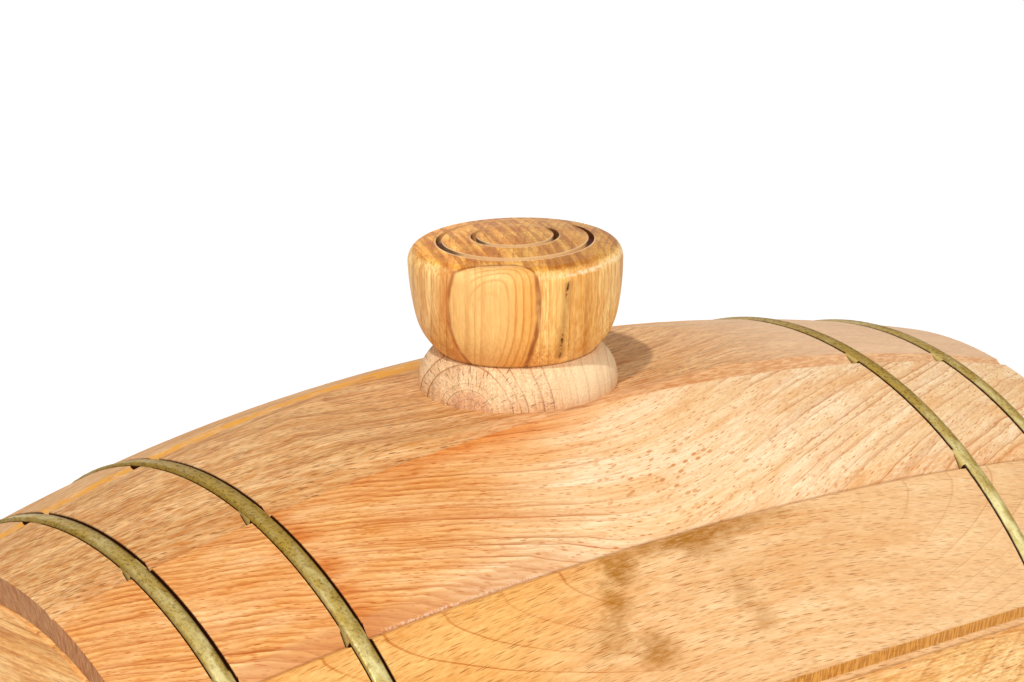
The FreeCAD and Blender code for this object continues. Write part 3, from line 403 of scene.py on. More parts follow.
STAVE_LOOKS = {
    "bung_stave": {
        "light": srgb(232, 180, 122), "dark": srgb(216, 160, 100),
        "tint": srgb(200, 138, 84), "tint_share": 0.4,
        "pith": (-17.0, -61.0), "tilt": (0.05, 0.0), "follow": 0.9, "wander": 0.9, "sweep": (0.2, 0.0, 40.0),
        "ring": srgb(150, 88, 44), "ring_strength": 0.5, "ring_spacing": 1.8,
        "fibre": 0.46, "fibre_size": (0.6, 7.0, 0.7),
        "dash": srgb(124, 66, 26), "dash_strength": 0.75, "dash_share": 1.3, "dash_size": (0.64, 4.4, 9.0),
    },
    "stave_02": {
        "light": srgb(250, 219, 176), "dark": srgb(242, 201, 149),
        "tint": srgb(236, 175, 112), "tint_share": 0.4,
        "pith": (-300.0, 0.0), "tilt": (0.0, 0.0), "wander": 2.0, "calm": (12.0, 8.0, 40.0),
        "sweep": (0.42, -5.0, 22.0), "ring_sweep": 0.42,
        "ring": srgb(184, 100, 38), "ring_strength": 0.78, "ring_spacing": 3.0,
        "dash": srgb(198, 116, 52), "dash_strength": 0.8, "dash_share": 0.7, "dash_size": (0.62, 3.2, 9.0),
        "fibre": 0.2,
    },
    "stave_03": {
        "light": srgb(236, 191, 138), "dark": srgb(228, 177, 121), "tint": srgb(222, 158, 92),
        "arch": (12.0, -17.5, 0.45, 0.065, 1.4), "wander": 1.0, "calm": (14.0, 36.0, 56.0),
        "sweep": (-0.25, -15.0, 110.0),
        "ring": srgb(186, 108, 38), "ring_strength": 0.75, "ring_spacing": 14.0,
        "years": 0.12, "early": 0.16, "late_from": 0.93,
        "dash": srgb(156, 86, 24), "dash_strength": 0.7, "dash_share": 1.3, "dash_size": (0.48, 6.2, 9.0),
        "fibre": 0.2,
    },
    "stave_04": {
        "light": srgb(244, 200, 136), "dark": srgb(236, 186, 118), "dash_strength": 0.7, "dash_share": 0.9,
    },
    "stave_16": {"light": srgb(230, 182, 128), "dark": srgb(214, 160, 104), "fibre": 0.3},
}

# Marks of use and making, with painted light and painted shade among them, in mm across and along the stave
# from its middle.
# A pair is a soft step, from where it begins to where it is done; two pairs are the two sides of a band.
# Painted light: the bung stave is paler towards the rear, where more light falls.
BUNG_REAR_LIGHT = srgb(242, 206, 170)
BUNG_REAR_LIGHT_ALONG = (25.0, 90.0)
# Painted shadow where the collar meets the stave, on the collar's right and near side.
COLLAR_SHADOW_OUTWARD = (1.4, 0.4)
COLLAR_SHADOW_SIDEWAYS = ((1.0, 8.0), (19.0, 14.0))
COLLAR_SHADOW_NEAR = (8.0, 12.0)
TORN = srgb(238, 190, 138)
TORN_DARK = srgb(208, 144, 92)
TORN_ALONG = (-45.0, -15.0)

WARM = srgb(247, 214, 168)
WARM_ALONG = (-8.0, -58.0)
WARM_SLANT = 1.4
WARM_WAVER = 60.0
BURNT = srgb(232, 186, 140)
BURNT_ALONG = ((-78.0, -84.0), (-87.5, -86.5))
RIPPLE = srgb(220, 190, 158)
RIPPLE_ALONG = (-20.0, -46.0)
RIPPLE_SPACING = 1.8
RIPPLE_SLOPE = -0.4
RIPPLE_WAVER = 4.0
WEDGE = srgb(242, 194, 134)
WEDGE_PLACE = (-21.0, -36.0)
WEDGE_REACH = (10.0, 44.0)
FLECK = srgb(204, 128, 62)
FLECK_CELL = (1.6, 3.4, 6.0)
FLECK_SLANT = 0.25
FLECK_PLACE = (7.0, 4.0)
FLECK_REACH = (16.0, 40.0)
PINK_BROWN = srgb(206, 146, 96)
PINK_FROM_EDGE = (5.0, 3.4)
PINK_ALONG = (-22.0, -50.0)
REAR_TORN = srgb(216, 150, 88)
REAR_TORN_FROM_EDGE = (5.2, 3.0)
REAR_TORN_ALONG = (20.0, 60.0)
FILLER = srgb(240, 212, 186)
FILLER_FROM_EDGE = (1.0, 0.5)
FILLER_ALONG = ((-36.0, -44.0), (-84.0, -76.0))

AMBER = srgb(254, 238, 190)
AMBER_ALONG = (-20.0, -75.0)
REAR_PALE = srgb(252, 214, 164)
REAR_PALE_ALONG = (15.0, 75.0)
# Each stain's place, reach and strength.
SMOKE = [
    ((-17.0, -25.0), (7.0, 6.0), 0.9),
    ((-9.5, -30.0), (6.5, 5.0), 0.75),
    ((-1.5, -35.0), (6.0, 9.0), 0.55),
    ((3.5, -26.5), (6.0, 7.0), 0.8),
    ((-19.4, -2.0), (3.6, 32.0), 0.9),
    ((-16.0, -1.0), (4.5, 9.0), 0.5),
    ((-4.0, 1.0), (8.0, 4.5), 0.35),
    ((4.0, 3.0), (5.0, 5.0), 0.4),
]
SMOKE_BROWN = srgb(160, 98, 8)
SAWN_DARK = srgb(178, 108, 26)
SAWN_LIGHT = srgb(216, 150, 62)
SAWN_FROM_EDGE = ((3.9, 3.5), (1.2, 1.6))
SAWN_SLANT = 0.4

OCHRE = srgb(232, 164, 66)

# Middles of the hoops from the cask's middle, in mm.
HOOP_STATIONS = (-116.2, -87.0, 87.0, 116.2)
GROOVE_HALF = 2.7
GROOVE_BELOW = (0.1, 0.4)
# Painted shade, for the hoop grooves and for the gap at the collar's foot.
PAINTED_GAP_SHADE = srgb(56, 24, 8)


def blot(g, place, centre, reach, roughness):
    """A soft patch with a cloudy outline, 0 to 1."""
    x, y, _ = g.separate(place)
    dx = g.mul(g.sub(x, centre[0]), 1.0 / reach[0])
    dy = g.mul(g.sub(y, centre[1]), 1.0 / reach[1])
    cloud = g.noise(place, (3.4, 4.6, 3.4), detail=4.0, roughness=0.6)
    return g.smooth(g.add(g.length(dx, dy), g.mul(g.sub(cloud, 0.5), roughness)), 1.1, 0.1)


def dress_bung_stave(g, place, colour, to_edge, bevel):
    """Painted light towards the rear, a painted shadow at the collar's foot, and torn on its broad bevel."""
    x, y, _ = g.separate(place)
    colour = g.paint(colour, BUNG_REAR_LIGHT, g.smooth(y, *BUNG_REAR_LIGHT_ALONG), 0.65)
    # Painted contact shadow at the collar's foot, on its right and near side.
    right = g.add(g.mul(x, RIGHT.x), g.mul(y, RIGHT.y))
    near = g.add(g.mul(x, NEAR.x), g.mul(y, NEAR.y))
    away = g.sub(g.length(x, y), COLLAR_FOOT)
    collar_shadow = g.mul(g.smooth(away, *COLLAR_SHADOW_OUTWARD), g.band(right, *COLLAR_SHADOW_SIDEWAYS))
    colour = g.mix(g.mul(collar_shadow, g.smooth(near, *COLLAR_SHADOW_NEAR, 0.0, 0.8)), colour, PAINTED_GAP_SHADE)
    torn = g.noise(place, (0.5, 4.5, 0.5), detail=3.0, roughness=0.6)
    fibres = g.mix(g.smooth(torn, 0.4, 0.62), TORN_DARK, TORN)
    return g.paint(colour, fibres, g.mul(bevel, g.smooth(y, *TORN_ALONG)), 0.7)


def dress_stave_02(g, place, colour, to_edge, bevel):
    """Orange towards the tap, pale past the middle, with coarse flecks where the surface lies flat."""
    x, y, z = g.separate(place)
    cloud = g.noise(place, (5.0, 26.0, 5.0), detail=3.0)
    shift = g.mul(g.sub(cloud, 0.5), WARM_WAVER)
    warm = g.smooth(g.add(g.add(y, g.mul(x, WARM_SLANT)), shift), *WARM_ALONG)
    colour = g.mix(g.mul(warm, g.smooth(cloud, 0.35, 0.65, 0.75, 1.0)), colour, WARM, blend="MULTIPLY")
    burnt = g.mul(g.band(y, *BURNT_ALONG), g.smooth(cloud, 0.3, 0.6, 0.4, 1.0))
    colour = g.paint(colour, BURNT, burnt, 0.7, blend="MULTIPLY")
    # Towards the tap the surface is rippled beside its rings.
    waver = g.noise(place, (8.0, 15.0, 8.0))
    ripple = g.add(g.add(x, g.mul(y, RIPPLE_SLOPE)), g.mul(waver, RIPPLE_WAVER))
    phase = g.math("FRACT", g.mul(ripple, 1.0 / RIPPLE_SPACING))
    ripple = g.band(phase, (0.2, 0.85), (1.0, 0.92))
    rippled = g.mul(g.smooth(y, *RIPPLE_ALONG), g.smooth(cloud, 0.3, 0.6, 0.35, 1.0))
    colour = g.paint(colour, RIPPLE, g.mul(ripple, rippled), 0.75, blend="MULTIPLY")
    wedge = blot(g, place, WEDGE_PLACE, WEDGE_REACH, 0.5)
    colour = g.paint(colour, WEDGE, wedge, 0.7, blend="MULTIPLY")
    fleck = g.cells(g.combine(g.add(x, g.mul(y, FLECK_SLANT)), y, z), FLECK_CELL)
    mark = g.mul(g.smooth(fleck["Distance"], 0.34, 0.18), g.smooth(g.separate(fleck["Color"])[0], 0.7, 0.5))
    mark = g.mul(mark, blot(g, place, FLECK_PLACE, FLECK_REACH, 0.4))
    colour = g.paint(colour, FLECK, mark, 0.85)
    pink = g.mul(g.smooth(to_edge, *PINK_FROM_EDGE), g.smooth(y, *PINK_ALONG))
    colour = g.paint(colour, PINK_BROWN, pink, 0.5)
    rear = g.mul(g.smooth(to_edge, *REAR_TORN_FROM_EDGE), g.smooth(y, *REAR_TORN_ALONG))
    torn = g.noise(place, (0.6, 5.0, 0.6), detail=3.0, roughness=0.6)
    colour = g.mix(g.mul(rear, g.smooth(torn, 0.45, 0.6, 0.1, 0.5)), colour, REAR_TORN)
    grit = g.noise(place, (0.5, 0.5, 0.5))
    filler = g.mul(g.smooth(to_edge, *FILLER_FROM_EDGE), g.band(y, *FILLER_ALONG))
    return g.mix(g.mul(filler, g.smooth(grit, 0.46, 0.6, 0.0, 0.7)), colour, FILLER)


def dress_stave_03(g, place, colour, to_edge, bevel):
    """Yellow towards the tap, with smoke stains by its upper joint."""
    x, y, z = g.separate(place)
    colour = g.paint(colour, AMBER, g.smooth(g.add(y, x), *AMBER_ALONG), 0.9, blend="MULTIPLY")
    colour = g.paint(colour, REAR_PALE, g.smooth(y, *REAR_PALE_ALONG), 0.28)
    soot = g.noise(place, (0.6, 3.0, 0.7), detail=3.0, roughness=0.7)
    sooty = g.smooth(soot, 0.35, 0.6, 0.6, 1.0)
    for centre, reach, strength in SMOKE:
        stain = g.mul(g.mul(blot(g, place, centre, reach, 1.4), strength), sooty)
        colour = g.mix(stain, colour, SMOKE_BROWN)
    # The saw left fine steps across the narrow strip by the lower joint.
    steps = g.noise(g.combine(x, g.sub(y, g.mul(to_edge, SAWN_SLANT)), z), (3.0, 0.5, 3.0))
    sawn = g.mix(g.smooth(steps, 0.4, 0.6), SAWN_DARK, SAWN_LIGHT)
    return g.paint(colour, sawn, g.band(to_edge, *SAWN_FROM_EDGE), 0.85)


def dress_stave_16(g, place, colour, to_edge, bevel):
    """Ochre filler is left on the broad bevel, at the bung stave's far joint on stave_16."""
    patches = g.noise(place, (0.9, 6.0, 0.9), detail=4.0, roughness=0.7)
    return g.paint(colour, OCHRE, g.mul(bevel, g.smooth(patches, 0.42, 0.54, 0.1, 1.0)), 0.9)


STAVE_MARKS = {
    "bung_stave": dress_bung_stave,
    "stave_02": dress_stave_02,
    "stave_03": dress_stave_03,
    "stave_08": dress_stave_16,
    "stave_12": dress_stave_16,
    "stave_16": dress_stave_16,
}


def depth_below_face(g, y, radius):
    """How far a place lies below the staves' arched outer face, in mm."""
    surface = g.add(g.math("SQRT", g.sub(ARC_RADIUS ** 2, g.mul(y, y))), BELLY_RADIUS - ARC_RADIUS)
    return g.sub(surface, radius)


def paint_groove_shade(g, y, colour, radius):
    """The walls and floors of the hoop grooves are painted dark as shade."""
    below = g.smooth(depth_below_face(g, y, radius), *GROOVE_BELOW)
    near_groove = 0.0
    for station in HOOP_STATIONS:
        here = g.math("LESS_THAN", g.absolute(g.sub(y, station)), GROOVE_HALF)
        near_groove = g.larger(near_groove, here)
    return g.mix(g.mul(below, near_groove), colour, PAINTED_GAP_SHADE)


def stave_middles():
    """Each stave's middle angle in degrees from the top, turning towards +X."""
    middles = {"bung_stave": 0.0}
    for index, name in enumerate(STAVES[1:]):
        middles[name] = BUNG_STAVE_ANGLE / 2.0 + PLAIN_STAVE_ANGLE * (index + 0.5)
    return middles


def stave_material(name, middle):
    g = Graph(name + "_beech")
    turn = math.radians(middle)
    outward = (math.sin(turn), 0.0, math.cos(turn))
    place = grain_frame(g, CASK_AXIS, LENGTHWISE, outward)
    from_face = g.vector("SUBTRACT", place, (0.0, 0.0, STAVE_LEVEL))
    number = STAVES.index(name) + 1
    # Each stave is cut from its own place in the tree.
    defaults = {
        "seed": float(number),
        "pith": (12.0 * math.sin(number * 2.3), -38.0 - 16.0 * math.cos(number * 1.7)),
        "tilt": (0.02 * math.sin(number * 1.1), 0.05 * math.cos(number * 2.9)),
    }
    made = wood(g, from_face, **{**defaults, **STAVE_LOOKS.get(name, {})})
    colour = made["colour"]
    x, y, z = g.separate(place)
    half = math.radians((BUNG_STAVE_ANGLE if name == "bung_stave" else PLAIN_STAVE_ANGLE) / 2.0)
    angle = g.math("ARCTAN2", x, z)
    to_edge = g.mul(g.sub(half, angle), z)
    ragged = g.mul(g.sub(g.noise(place, (1.2, 7.0, 1.2), detail=3.0), 0.5), BEVEL_RAGGED)
    # The bevel narrows from its middle to the ends.
    narrowed = g.mul(g.mul(y, y), BEVEL_LOSS)
    from_edge = g.add(g.add(to_edge, narrowed), ragged)
    bevel = g.smooth(from_edge, BEVEL_BROAD + BEVEL_SOFT, BEVEL_BROAD - BEVEL_SOFT)
    marks = STAVE_MARKS.get(name)
    if marks:
        colour = marks(g, place, colour, to_edge, bevel)
    # The saw and the joint leave a thin dark line at each edge.
    far_edge = g.mul(g.add(half, angle), z)
    near_width, far_width = JOINT_LINE_WIDTHS
    line = g.larger(g.smooth(to_edge, near_width, 0.0), g.smooth(far_edge, far_width, 0.0))
    colour = g.paint(colour, JOINT_LINE, line, 0.4)
    # Painted shade in the hoop grooves.
    colour = paint_groove_shade(g, y, colour, g.length(x, z))
    ends = g.smooth(g.absolute(facing(g, LENGTHWISE)), END_FACE, END_FACE_FULL)
    ends = g.mul(ends, g.math("GREATER_THAN", g.absolute(y), END_FROM))
    rays = g.smooth(g.noise(place, (0.5, 2.0, 3.0), detail=3.0), 0.35, 0.65)
    made["colour"] = g.paint(colour, g.mix(rays, END_DARK, END_LIGHT), ends, 0.75)
    return satin(g, made)


# ---------- Brass, cork, rubber ----------

HOOPS = ("front_outer_hoop", "front_inner_hoop", "rear_inner_hoop", "rear_outer_hoop")
# The broad bevel before each joint starts at this share of the way from joint to joint.
NOTCH_FROM = 0.887
NOTCH_SOFT = 0.01
# Heights in mm between which the wire turns from rubbed to tarnished.
TARNISH_RISE = (250.0, 296.0)
TARNISH_WAVER = 40.0
HIGH_RISE = (225.0, 262.0)
FAR_HALF = (-0.6, 2.0)
SUNK = (-0.1, 0.15)
HOOP_ROUGHNESS = 0.34
HOOP_METAL = 0.85
HOOP_GLOSS = 0.05

BRASS_RUBBED = srgb(255, 240, 172)
BRASS_TARNISHED = srgb(164, 130, 44)
BRASS_MOTTLED = srgb(198, 164, 66)
BRASS_FAR_HALF = srgb(124, 92, 22)
BRASS_HIGH_CORNER = srgb(116, 88, 28)
# Painted highlight on the near corner lower down.
BRASS_LOW_CORNER_HIGHLIGHT = srgb(250, 242, 206)
# Painted reflection on the far corner up top.
BRASS_FAR_REFLECTION = srgb(158, 136, 88)
BRASS_SPOT = srgb(72, 50, 10)
# Painted shade on the wire where it sits in its groove.
BRASS_FOOT_SHADE = srgb(48, 18, 2)
# Painted light on the wire's side where it shows in a notch.
BRASS_NOTCH_LIGHT = srgb(226, 200, 122)
SCREW_BRIGHT = srgb(226, 196, 120)
SCREW_DULL = srgb(158, 124, 60)

CORK_LIGHT = srgb(196, 150, 104)
CORK_DARK = srgb(164, 116, 72)
CORK_PIT = srgb(84, 52, 30)
RUBBER = srgb(34, 33, 32)
RUBBER_DUST = srgb(74, 70, 66)


def hoop_material(name, station):
    """Old brass wire: dark olive with black specks on top, rubbed paler lower down, with a painted highlight
    and a painted reflection at its edges and painted shade where it sits in its groove.
    """
    g = Graph(name + "_brass")
    here = g.here()
    x, y, z = g.separate(here)
    cloud = g.noise(here, (6.0, 3.0, 6.0), detail=4.0, roughness=0.65)
    speck = g.noise(here, (0.8, 0.8, 0.8), detail=3.0, roughness=0.75)
    top = g.smooth(g.add(z, g.mul(g.sub(cloud, 0.5), TARNISH_WAVER)), *TARNISH_RISE)
    colour = g.mix(top, BRASS_RUBBED, BRASS_TARNISHED)
    colour = g.mix(g.smooth(cloud, 0.42, 0.62, 0.0, 0.45), colour, BRASS_MOTTLED)
    spots = g.mul(g.smooth(speck, 0.46, 0.7), g.add(0.2, g.mul(top, 0.6)))
    # The far half is painted darker.
    along = g.sub(y, CASK_AXIS.y)
    across = g.sub(along, station)
    far_half_dark = g.smooth(g.add(across, g.mul(g.sub(cloud, 0.5), 2.0)), *FAR_HALF, 0.0, 0.6)
    colour = g.mix(far_half_dark, colour, BRASS_FAR_HALF)
    # The near corner is dark high up and has a painted highlight lower down; the far one has a painted
    # reflection on top.
    rearward = facing(g, LENGTHWISE)
    near_corner = g.smooth(g.mul(rearward, -1.0), 0.1, 0.6)
    far_corner = g.smooth(rearward, 0.3, 0.75)
    high = g.smooth(z, *HIGH_RISE)
    colour = g.paint(colour, BRASS_HIGH_CORNER, g.mul(near_corner, high), 0.5)
    colour = g.paint(colour, BRASS_LOW_CORNER_HIGHLIGHT, g.mul(near_corner, g.sub(1.0, high)), 0.8)
    colour = g.mix(g.mul(far_corner, g.mul(top, 0.3)), colour, BRASS_FAR_REFLECTION)
    colour = g.mix(spots, colour, BRASS_SPOT)
    # The wire's foot down in its groove is painted dark as shade, but for the notches between two staves,
    # where its lit side shows and is painted light.
    side = g.sub(z, CASK_AXIS.z)
    turn = g.sub(g.math("ARCTAN2", x, side), math.radians(BUNG_STAVE_ANGLE / 2.0))
    step = g.math("FRACT", g.mul(turn, 1.0 / math.radians(PLAIN_STAVE_ANGLE)))
    notch = g.smooth(step, NOTCH_FROM - NOTCH_SOFT, NOTCH_FROM + NOTCH_SOFT)
    sunk = g.smooth(depth_below_face(g, along, g.length(x, side)), *SUNK)
    foot = g.mul(sunk, g.sub(1.0, g.mul(notch, 0.9)))
    colour = g.mix(foot, colour, BRASS_FOOT_SHADE)
    colour = g.paint(colour, BRASS_NOTCH_LIGHT, g.mul(sunk, notch), 0.5)
    rough = g.add(HOOP_ROUGHNESS, g.add(g.mul(top, 0.16), g.mul(spots, 0.25)))
    # Tarnish specks, the painted groove shade and the near corners with their painted highlight shine less
    # like metal.
    groove_shade_dull = g.add(g.mul(sunk, 0.3), g.mul(foot, 0.5))
    dull = g.add(g.mul(spots, 0.6), g.add(g.mul(near_corner, 0.5), groove_shade_dull))
    metal = g.larger(g.sub(HOOP_METAL, dull), 0.0)
    normal = g.bump(g.sub(cloud, g.mul(spots, 0.5)), 0.5, 0.12)
    return g.finish(
        Base_Color=colour, Metallic=metal, Roughness=rough, Normal=normal, Specular_IOR_Level=HOOP_GLOSS)


def screw_material():
    g = Graph("screw_brass")
    here = g.here()
    cloud = g.noise(here, (1.6, 1.6, 1.6), detail=4.0, roughness=0.6)
    turned = g.noise(here, (0.5, 0.08, 0.5))
    colour = g.mix(g.smooth(cloud, 0.4, 0.7), SCREW_BRIGHT, SCREW_DULL)
    rough = g.add(0.24, g.mul(cloud, 0.22))
    return g.finish(Base_Color=colour, Metallic=1.0, Roughness=rough, Normal=g.bump(turned, 0.2, 0.05))


def cork_material():
    g = Graph("cork")
    here = g.here()
    grit = g.cells(here, (1.1, 1.1, 1.1))
    colour = g.mix(g.separate(grit["Color"])[0], CORK_LIGHT, CORK_DARK)
    pits = g.smooth(g.noise(here, (1.5, 1.5, 0.7), detail=4.0, roughness=0.7), 0.58, 0.68)
    colour = g.paint(colour, CORK_PIT, pits, 0.8)
    normal = g.bump(g.sub(g.mul(grit["Distance"], -0.4), pits), 0.6, 0.25)
    return g.finish(Base_Color=colour, Roughness=0.85, Normal=normal, Specular_IOR_Level=0.2)


def rubber_material():
    g = Graph("foot_rubber")
    here = g.here()
    grain = g.noise(here, (0.25, 0.25, 0.25))
    dust = g.smooth(g.noise(here, (3.0, 3.0, 3.0), detail=4.0), 0.5, 0.75)
    colour = g.paint(RUBBER, RUBBER_DUST, dust, 0.5)
    rough = g.add(0.62, g.mul(dust, 0.2))
    normal = g.bump(grain, 0.25, 0.05)
    return g.finish(Base_Color=colour, Roughness=rough, Normal=normal, Specular_IOR_Level=0.35)


# ---------- Turned pieces ----------

COLLAR_LOOK = {
    "light": srgb(246, 210, 164), "dark": srgb(240, 197, 148), "tint": srgb(230, 170, 116), "tint_share": 0.2,
    "ring": srgb(150, 86, 44), "ring_strength": 0.85, "ring_spacing": 2.0,
    "pith": (0.0, 0.0), "tilt": (0.0, 0.0), "wander": 0.9, "early": 0.2, "late_from": 0.84,
    "dash_strength": 0.0, "fibre": 0.1,
}
# The heart of the collar's rings, from its axis and seat, in mm.
HEART_RIGHT = -11.2
HEART_NEAR = 21.0
HEART_DROP = 0.8
HEART_CORE = (5.2, 4.6)
HEART = srgb(220, 154, 112)
COLLAR_PALE = srgb(254, 222, 178)
COLLAR_PALE_FROM = (16.0, 30.0)
CRACK_BROWN = srgb(118, 66, 34)
CRACK_REACH = (30.0, 12.0)
# Cracks in the collar's end grain: how many to a radian, and their length.
CRACKS = ((12.0, 6.0), (22.0, 4.0), (38.0, 2.4))
CRACKS_SHOWN = (1.1, 0.75)


def collar_material():
    """Beech turned across the grain, so that its rings show as arcs round a heart on the near side."""
    g = Graph("collar_beech")
    heart = KNOB_AXIS + RIGHT * HEART_RIGHT + NEAR * HEART_NEAR
    heart = heart + Vector((0.0, 0.0, COLLAR_SEAT - HEART_DROP))
    place = grain_frame(g, heart, NEAR, UPWARD)
    made = wood(g, place, **COLLAR_LOOK)
    x, y, z = g.separate(place)
    radius = made["radius"]
    grit = g.noise(place, (0.45, 0.45, 0.45), detail=3.0, roughness=0.65)
    colour = g.paint(made["colour"], HEART, g.smooth(radius, *HEART_CORE), 0.5)
    colour = g.scale_colour(colour, g.smooth(grit, 0.3, 0.7, 0.8, 1.18))
    # Short cracks run out from the heart across the rings.
    turn = g.math("ARCTAN2", x, z)
    wave = g.mul(g.sub(g.noise(place, (3.0, 3.0, 3.0)), 0.5), 0.8)
    bend = g.mul(g.sub(g.noise(place, (1.4, 1.4, 1.4), detail=1.0), 0.5), 0.5)
    spread = 0.0
    for count, length in CRACKS:
        round_it = g.add(g.mul(turn, count), bend)
        cell = g.cells(g.combine(round_it, g.mul(y, 0.12), g.add(g.mul(radius, 1.0 / length), wave)))
        some = g.smooth(g.separate(cell["Color"])[1], *CRACKS_SHOWN)
        spread = g.larger(spread, g.mul(g.smooth(cell["Distance"], 0.26, 0.06), some))
    marks = g.mul(spread, g.smooth(radius, *CRACK_REACH))
    colour = g.paint(colour, CRACK_BROWN, marks, 0.85)
    ribs = g.noise(g.combine(x, g.mul(y, 0.2), g.mul(z, 0.25)), (0.5, 4.0, 4.0))
    colour = g.scale_colour(colour, g.smooth(ribs, 0.35, 0.65, 0.92, 1.08))
    made["colour"] = g.paint(colour, COLLAR_PALE, g.smooth(radius, *COLLAR_PALE_FROM), 0.6)
    made["height"] = g.sub(g.add(made["height"], g.mul(ribs, 0.5)), g.mul(marks, 0.8))
    return satin(g, made, roughness=0.66, bump=0.6)


KNOB_LEVEL = 320.0
KNOB_LOOK = {
    "light": srgb(255, 209, 134), "dark": srgb(245, 188, 106), "tint": srgb(224, 152, 74), "tint_share": 0.55,
    "ring": srgb(160, 88, 32), "ring_strength": 0.6, "ring_spacing": 2.1,
    "pith": (120.0, 14.0), "tilt": (0.03, 0.0),
    "dash": srgb(150, 88, 36), "dash_strength": 0.4, "dash_share": 0.7, "dash_size": (0.4, 5.0, 2.0),
}
# Places on the knob are in mm to the right, up and towards the near side from its middle.
KNOB_FRONT = (8.0, 12.0)
SAP_LIGHT = srgb(250, 201, 126)
SAP_DARK = srgb(240, 176, 90)
SAP_LINE = srgb(206, 122, 42)
# The sides of the slice of sapwood, its arch over the shoulder, and how they curve.
SAP_LEFT = 15.5
SAP_LEFT_CURVE = 0.02
SAP_RIGHT = 4.9
SAP_RIGHT_CURVE = 0.0145
SAP_TOP = 20.4
SAP_TOP_SLOPE = 0.45
SAP_SHOULDER = 9.0
SAP_TIP = -2.0
SAP_TIP_CURVE = 0.09
SAP_CORNER = 6.0
SAP_OUTLINE = srgb(156, 80, 34)
SAP_SEAM = srgb(150, 74, 28)
SAP_BESIDE = srgb(206, 112, 48)
NEST_STEP = 0.58
PALE_BAND = srgb(246, 194, 112)
PALE_BAND_SIDEWAYS = ((6.5, 8.0), (11.5, 10.0))
DUSK = srgb(204, 132, 50)
DUSK_SIDEWAYS = ((11.0, 12.5), (22.0, 16.0))
CRACK_SIDEWAYS = 11.2
CRACK_LEAN = 0.12
CRACK_TOP = (6.5, 5.0)
CRACK_FOOT = (-14.5, -12.5)
CRACK_UPPER = (0.5, 3.5)
CRACK_LOWER = (-3.5, -6.5)
CRACK_HALO = srgb(150, 96, 40)
CRACK_DARK = srgb(84, 42, 8)
# The top is multiplied by these: year-ring stripes, and painted shade.
TOP_DARK = srgb(204, 168, 108)
TOP_LIGHT = srgb(246, 226, 176)
# Partly wear and partly a painted highlight on the turned edge.
ARRIS_WEAR_AND_HIGHLIGHT = srgb(254, 226, 180)
ARRIS_UP = ((6.4, 7.0), (7.9, 7.3))
ARRIS_SIDEWAYS = (3.0, 15.0)
# Radii of the two rings cut into the knob's top.
KNOB_RINGS = (17.7, 9.6)
RING_HALF = 0.65
RING_LIP = RING_HALF + 0.15
RING_LEVEL = 7.0
LIP_LEVEL = 8.0
# The way, to the right and near, from the axis to where the rings are painted with shade.
RING_ENDS = (0.97, -0.22)
# Painted light on the rings' lit walls, painted shade at their ends, and near lips that are partly wear and
# partly a painted highlight.
RING_LIT_WALL = srgb(240, 196, 136)
RING_SHADE = srgb(90, 30, 2)
LIP_WEAR_AND_HIGHLIGHT = srgb(250, 222, 178)


def finish_knob_rings(g, colour, right, up, near):
    """The cut rings are painted with shade at their ends and painted as lit walls elsewhere; their near lips
    are painted pale, partly as wear and partly as a highlight.
    """
    radius = g.length(right, near)
    sideways = g.absolute(g.add(g.mul(right, RING_ENDS[0]), g.mul(near, RING_ENDS[1])))
    to_end = g.smooth(g.math("DIVIDE", sideways, radius), 0.8, 0.95)
    for centre in KNOB_RINGS:
        off = g.absolute(g.sub(radius, centre))
        within = g.smooth(off, RING_HALF + 0.05, RING_HALF - 0.02)
        within = g.mul(within, g.math("GREATER_THAN", up, RING_LEVEL))
        lip = g.mul(g.smooth(g.absolute(g.sub(off, RING_LIP)), 0.3, 0.1), g.smooth(near, -4.0, 4.0))
        lip = g.mul(lip, g.math("GREATER_THAN", up, LIP_LEVEL))
        colour = g.paint(colour, LIP_WEAR_AND_HIGHLIGHT, lip, 0.5)
        colour = g.mix(within, colour, g.mix(to_end, RING_LIT_WALL, RING_SHADE))
    return colour


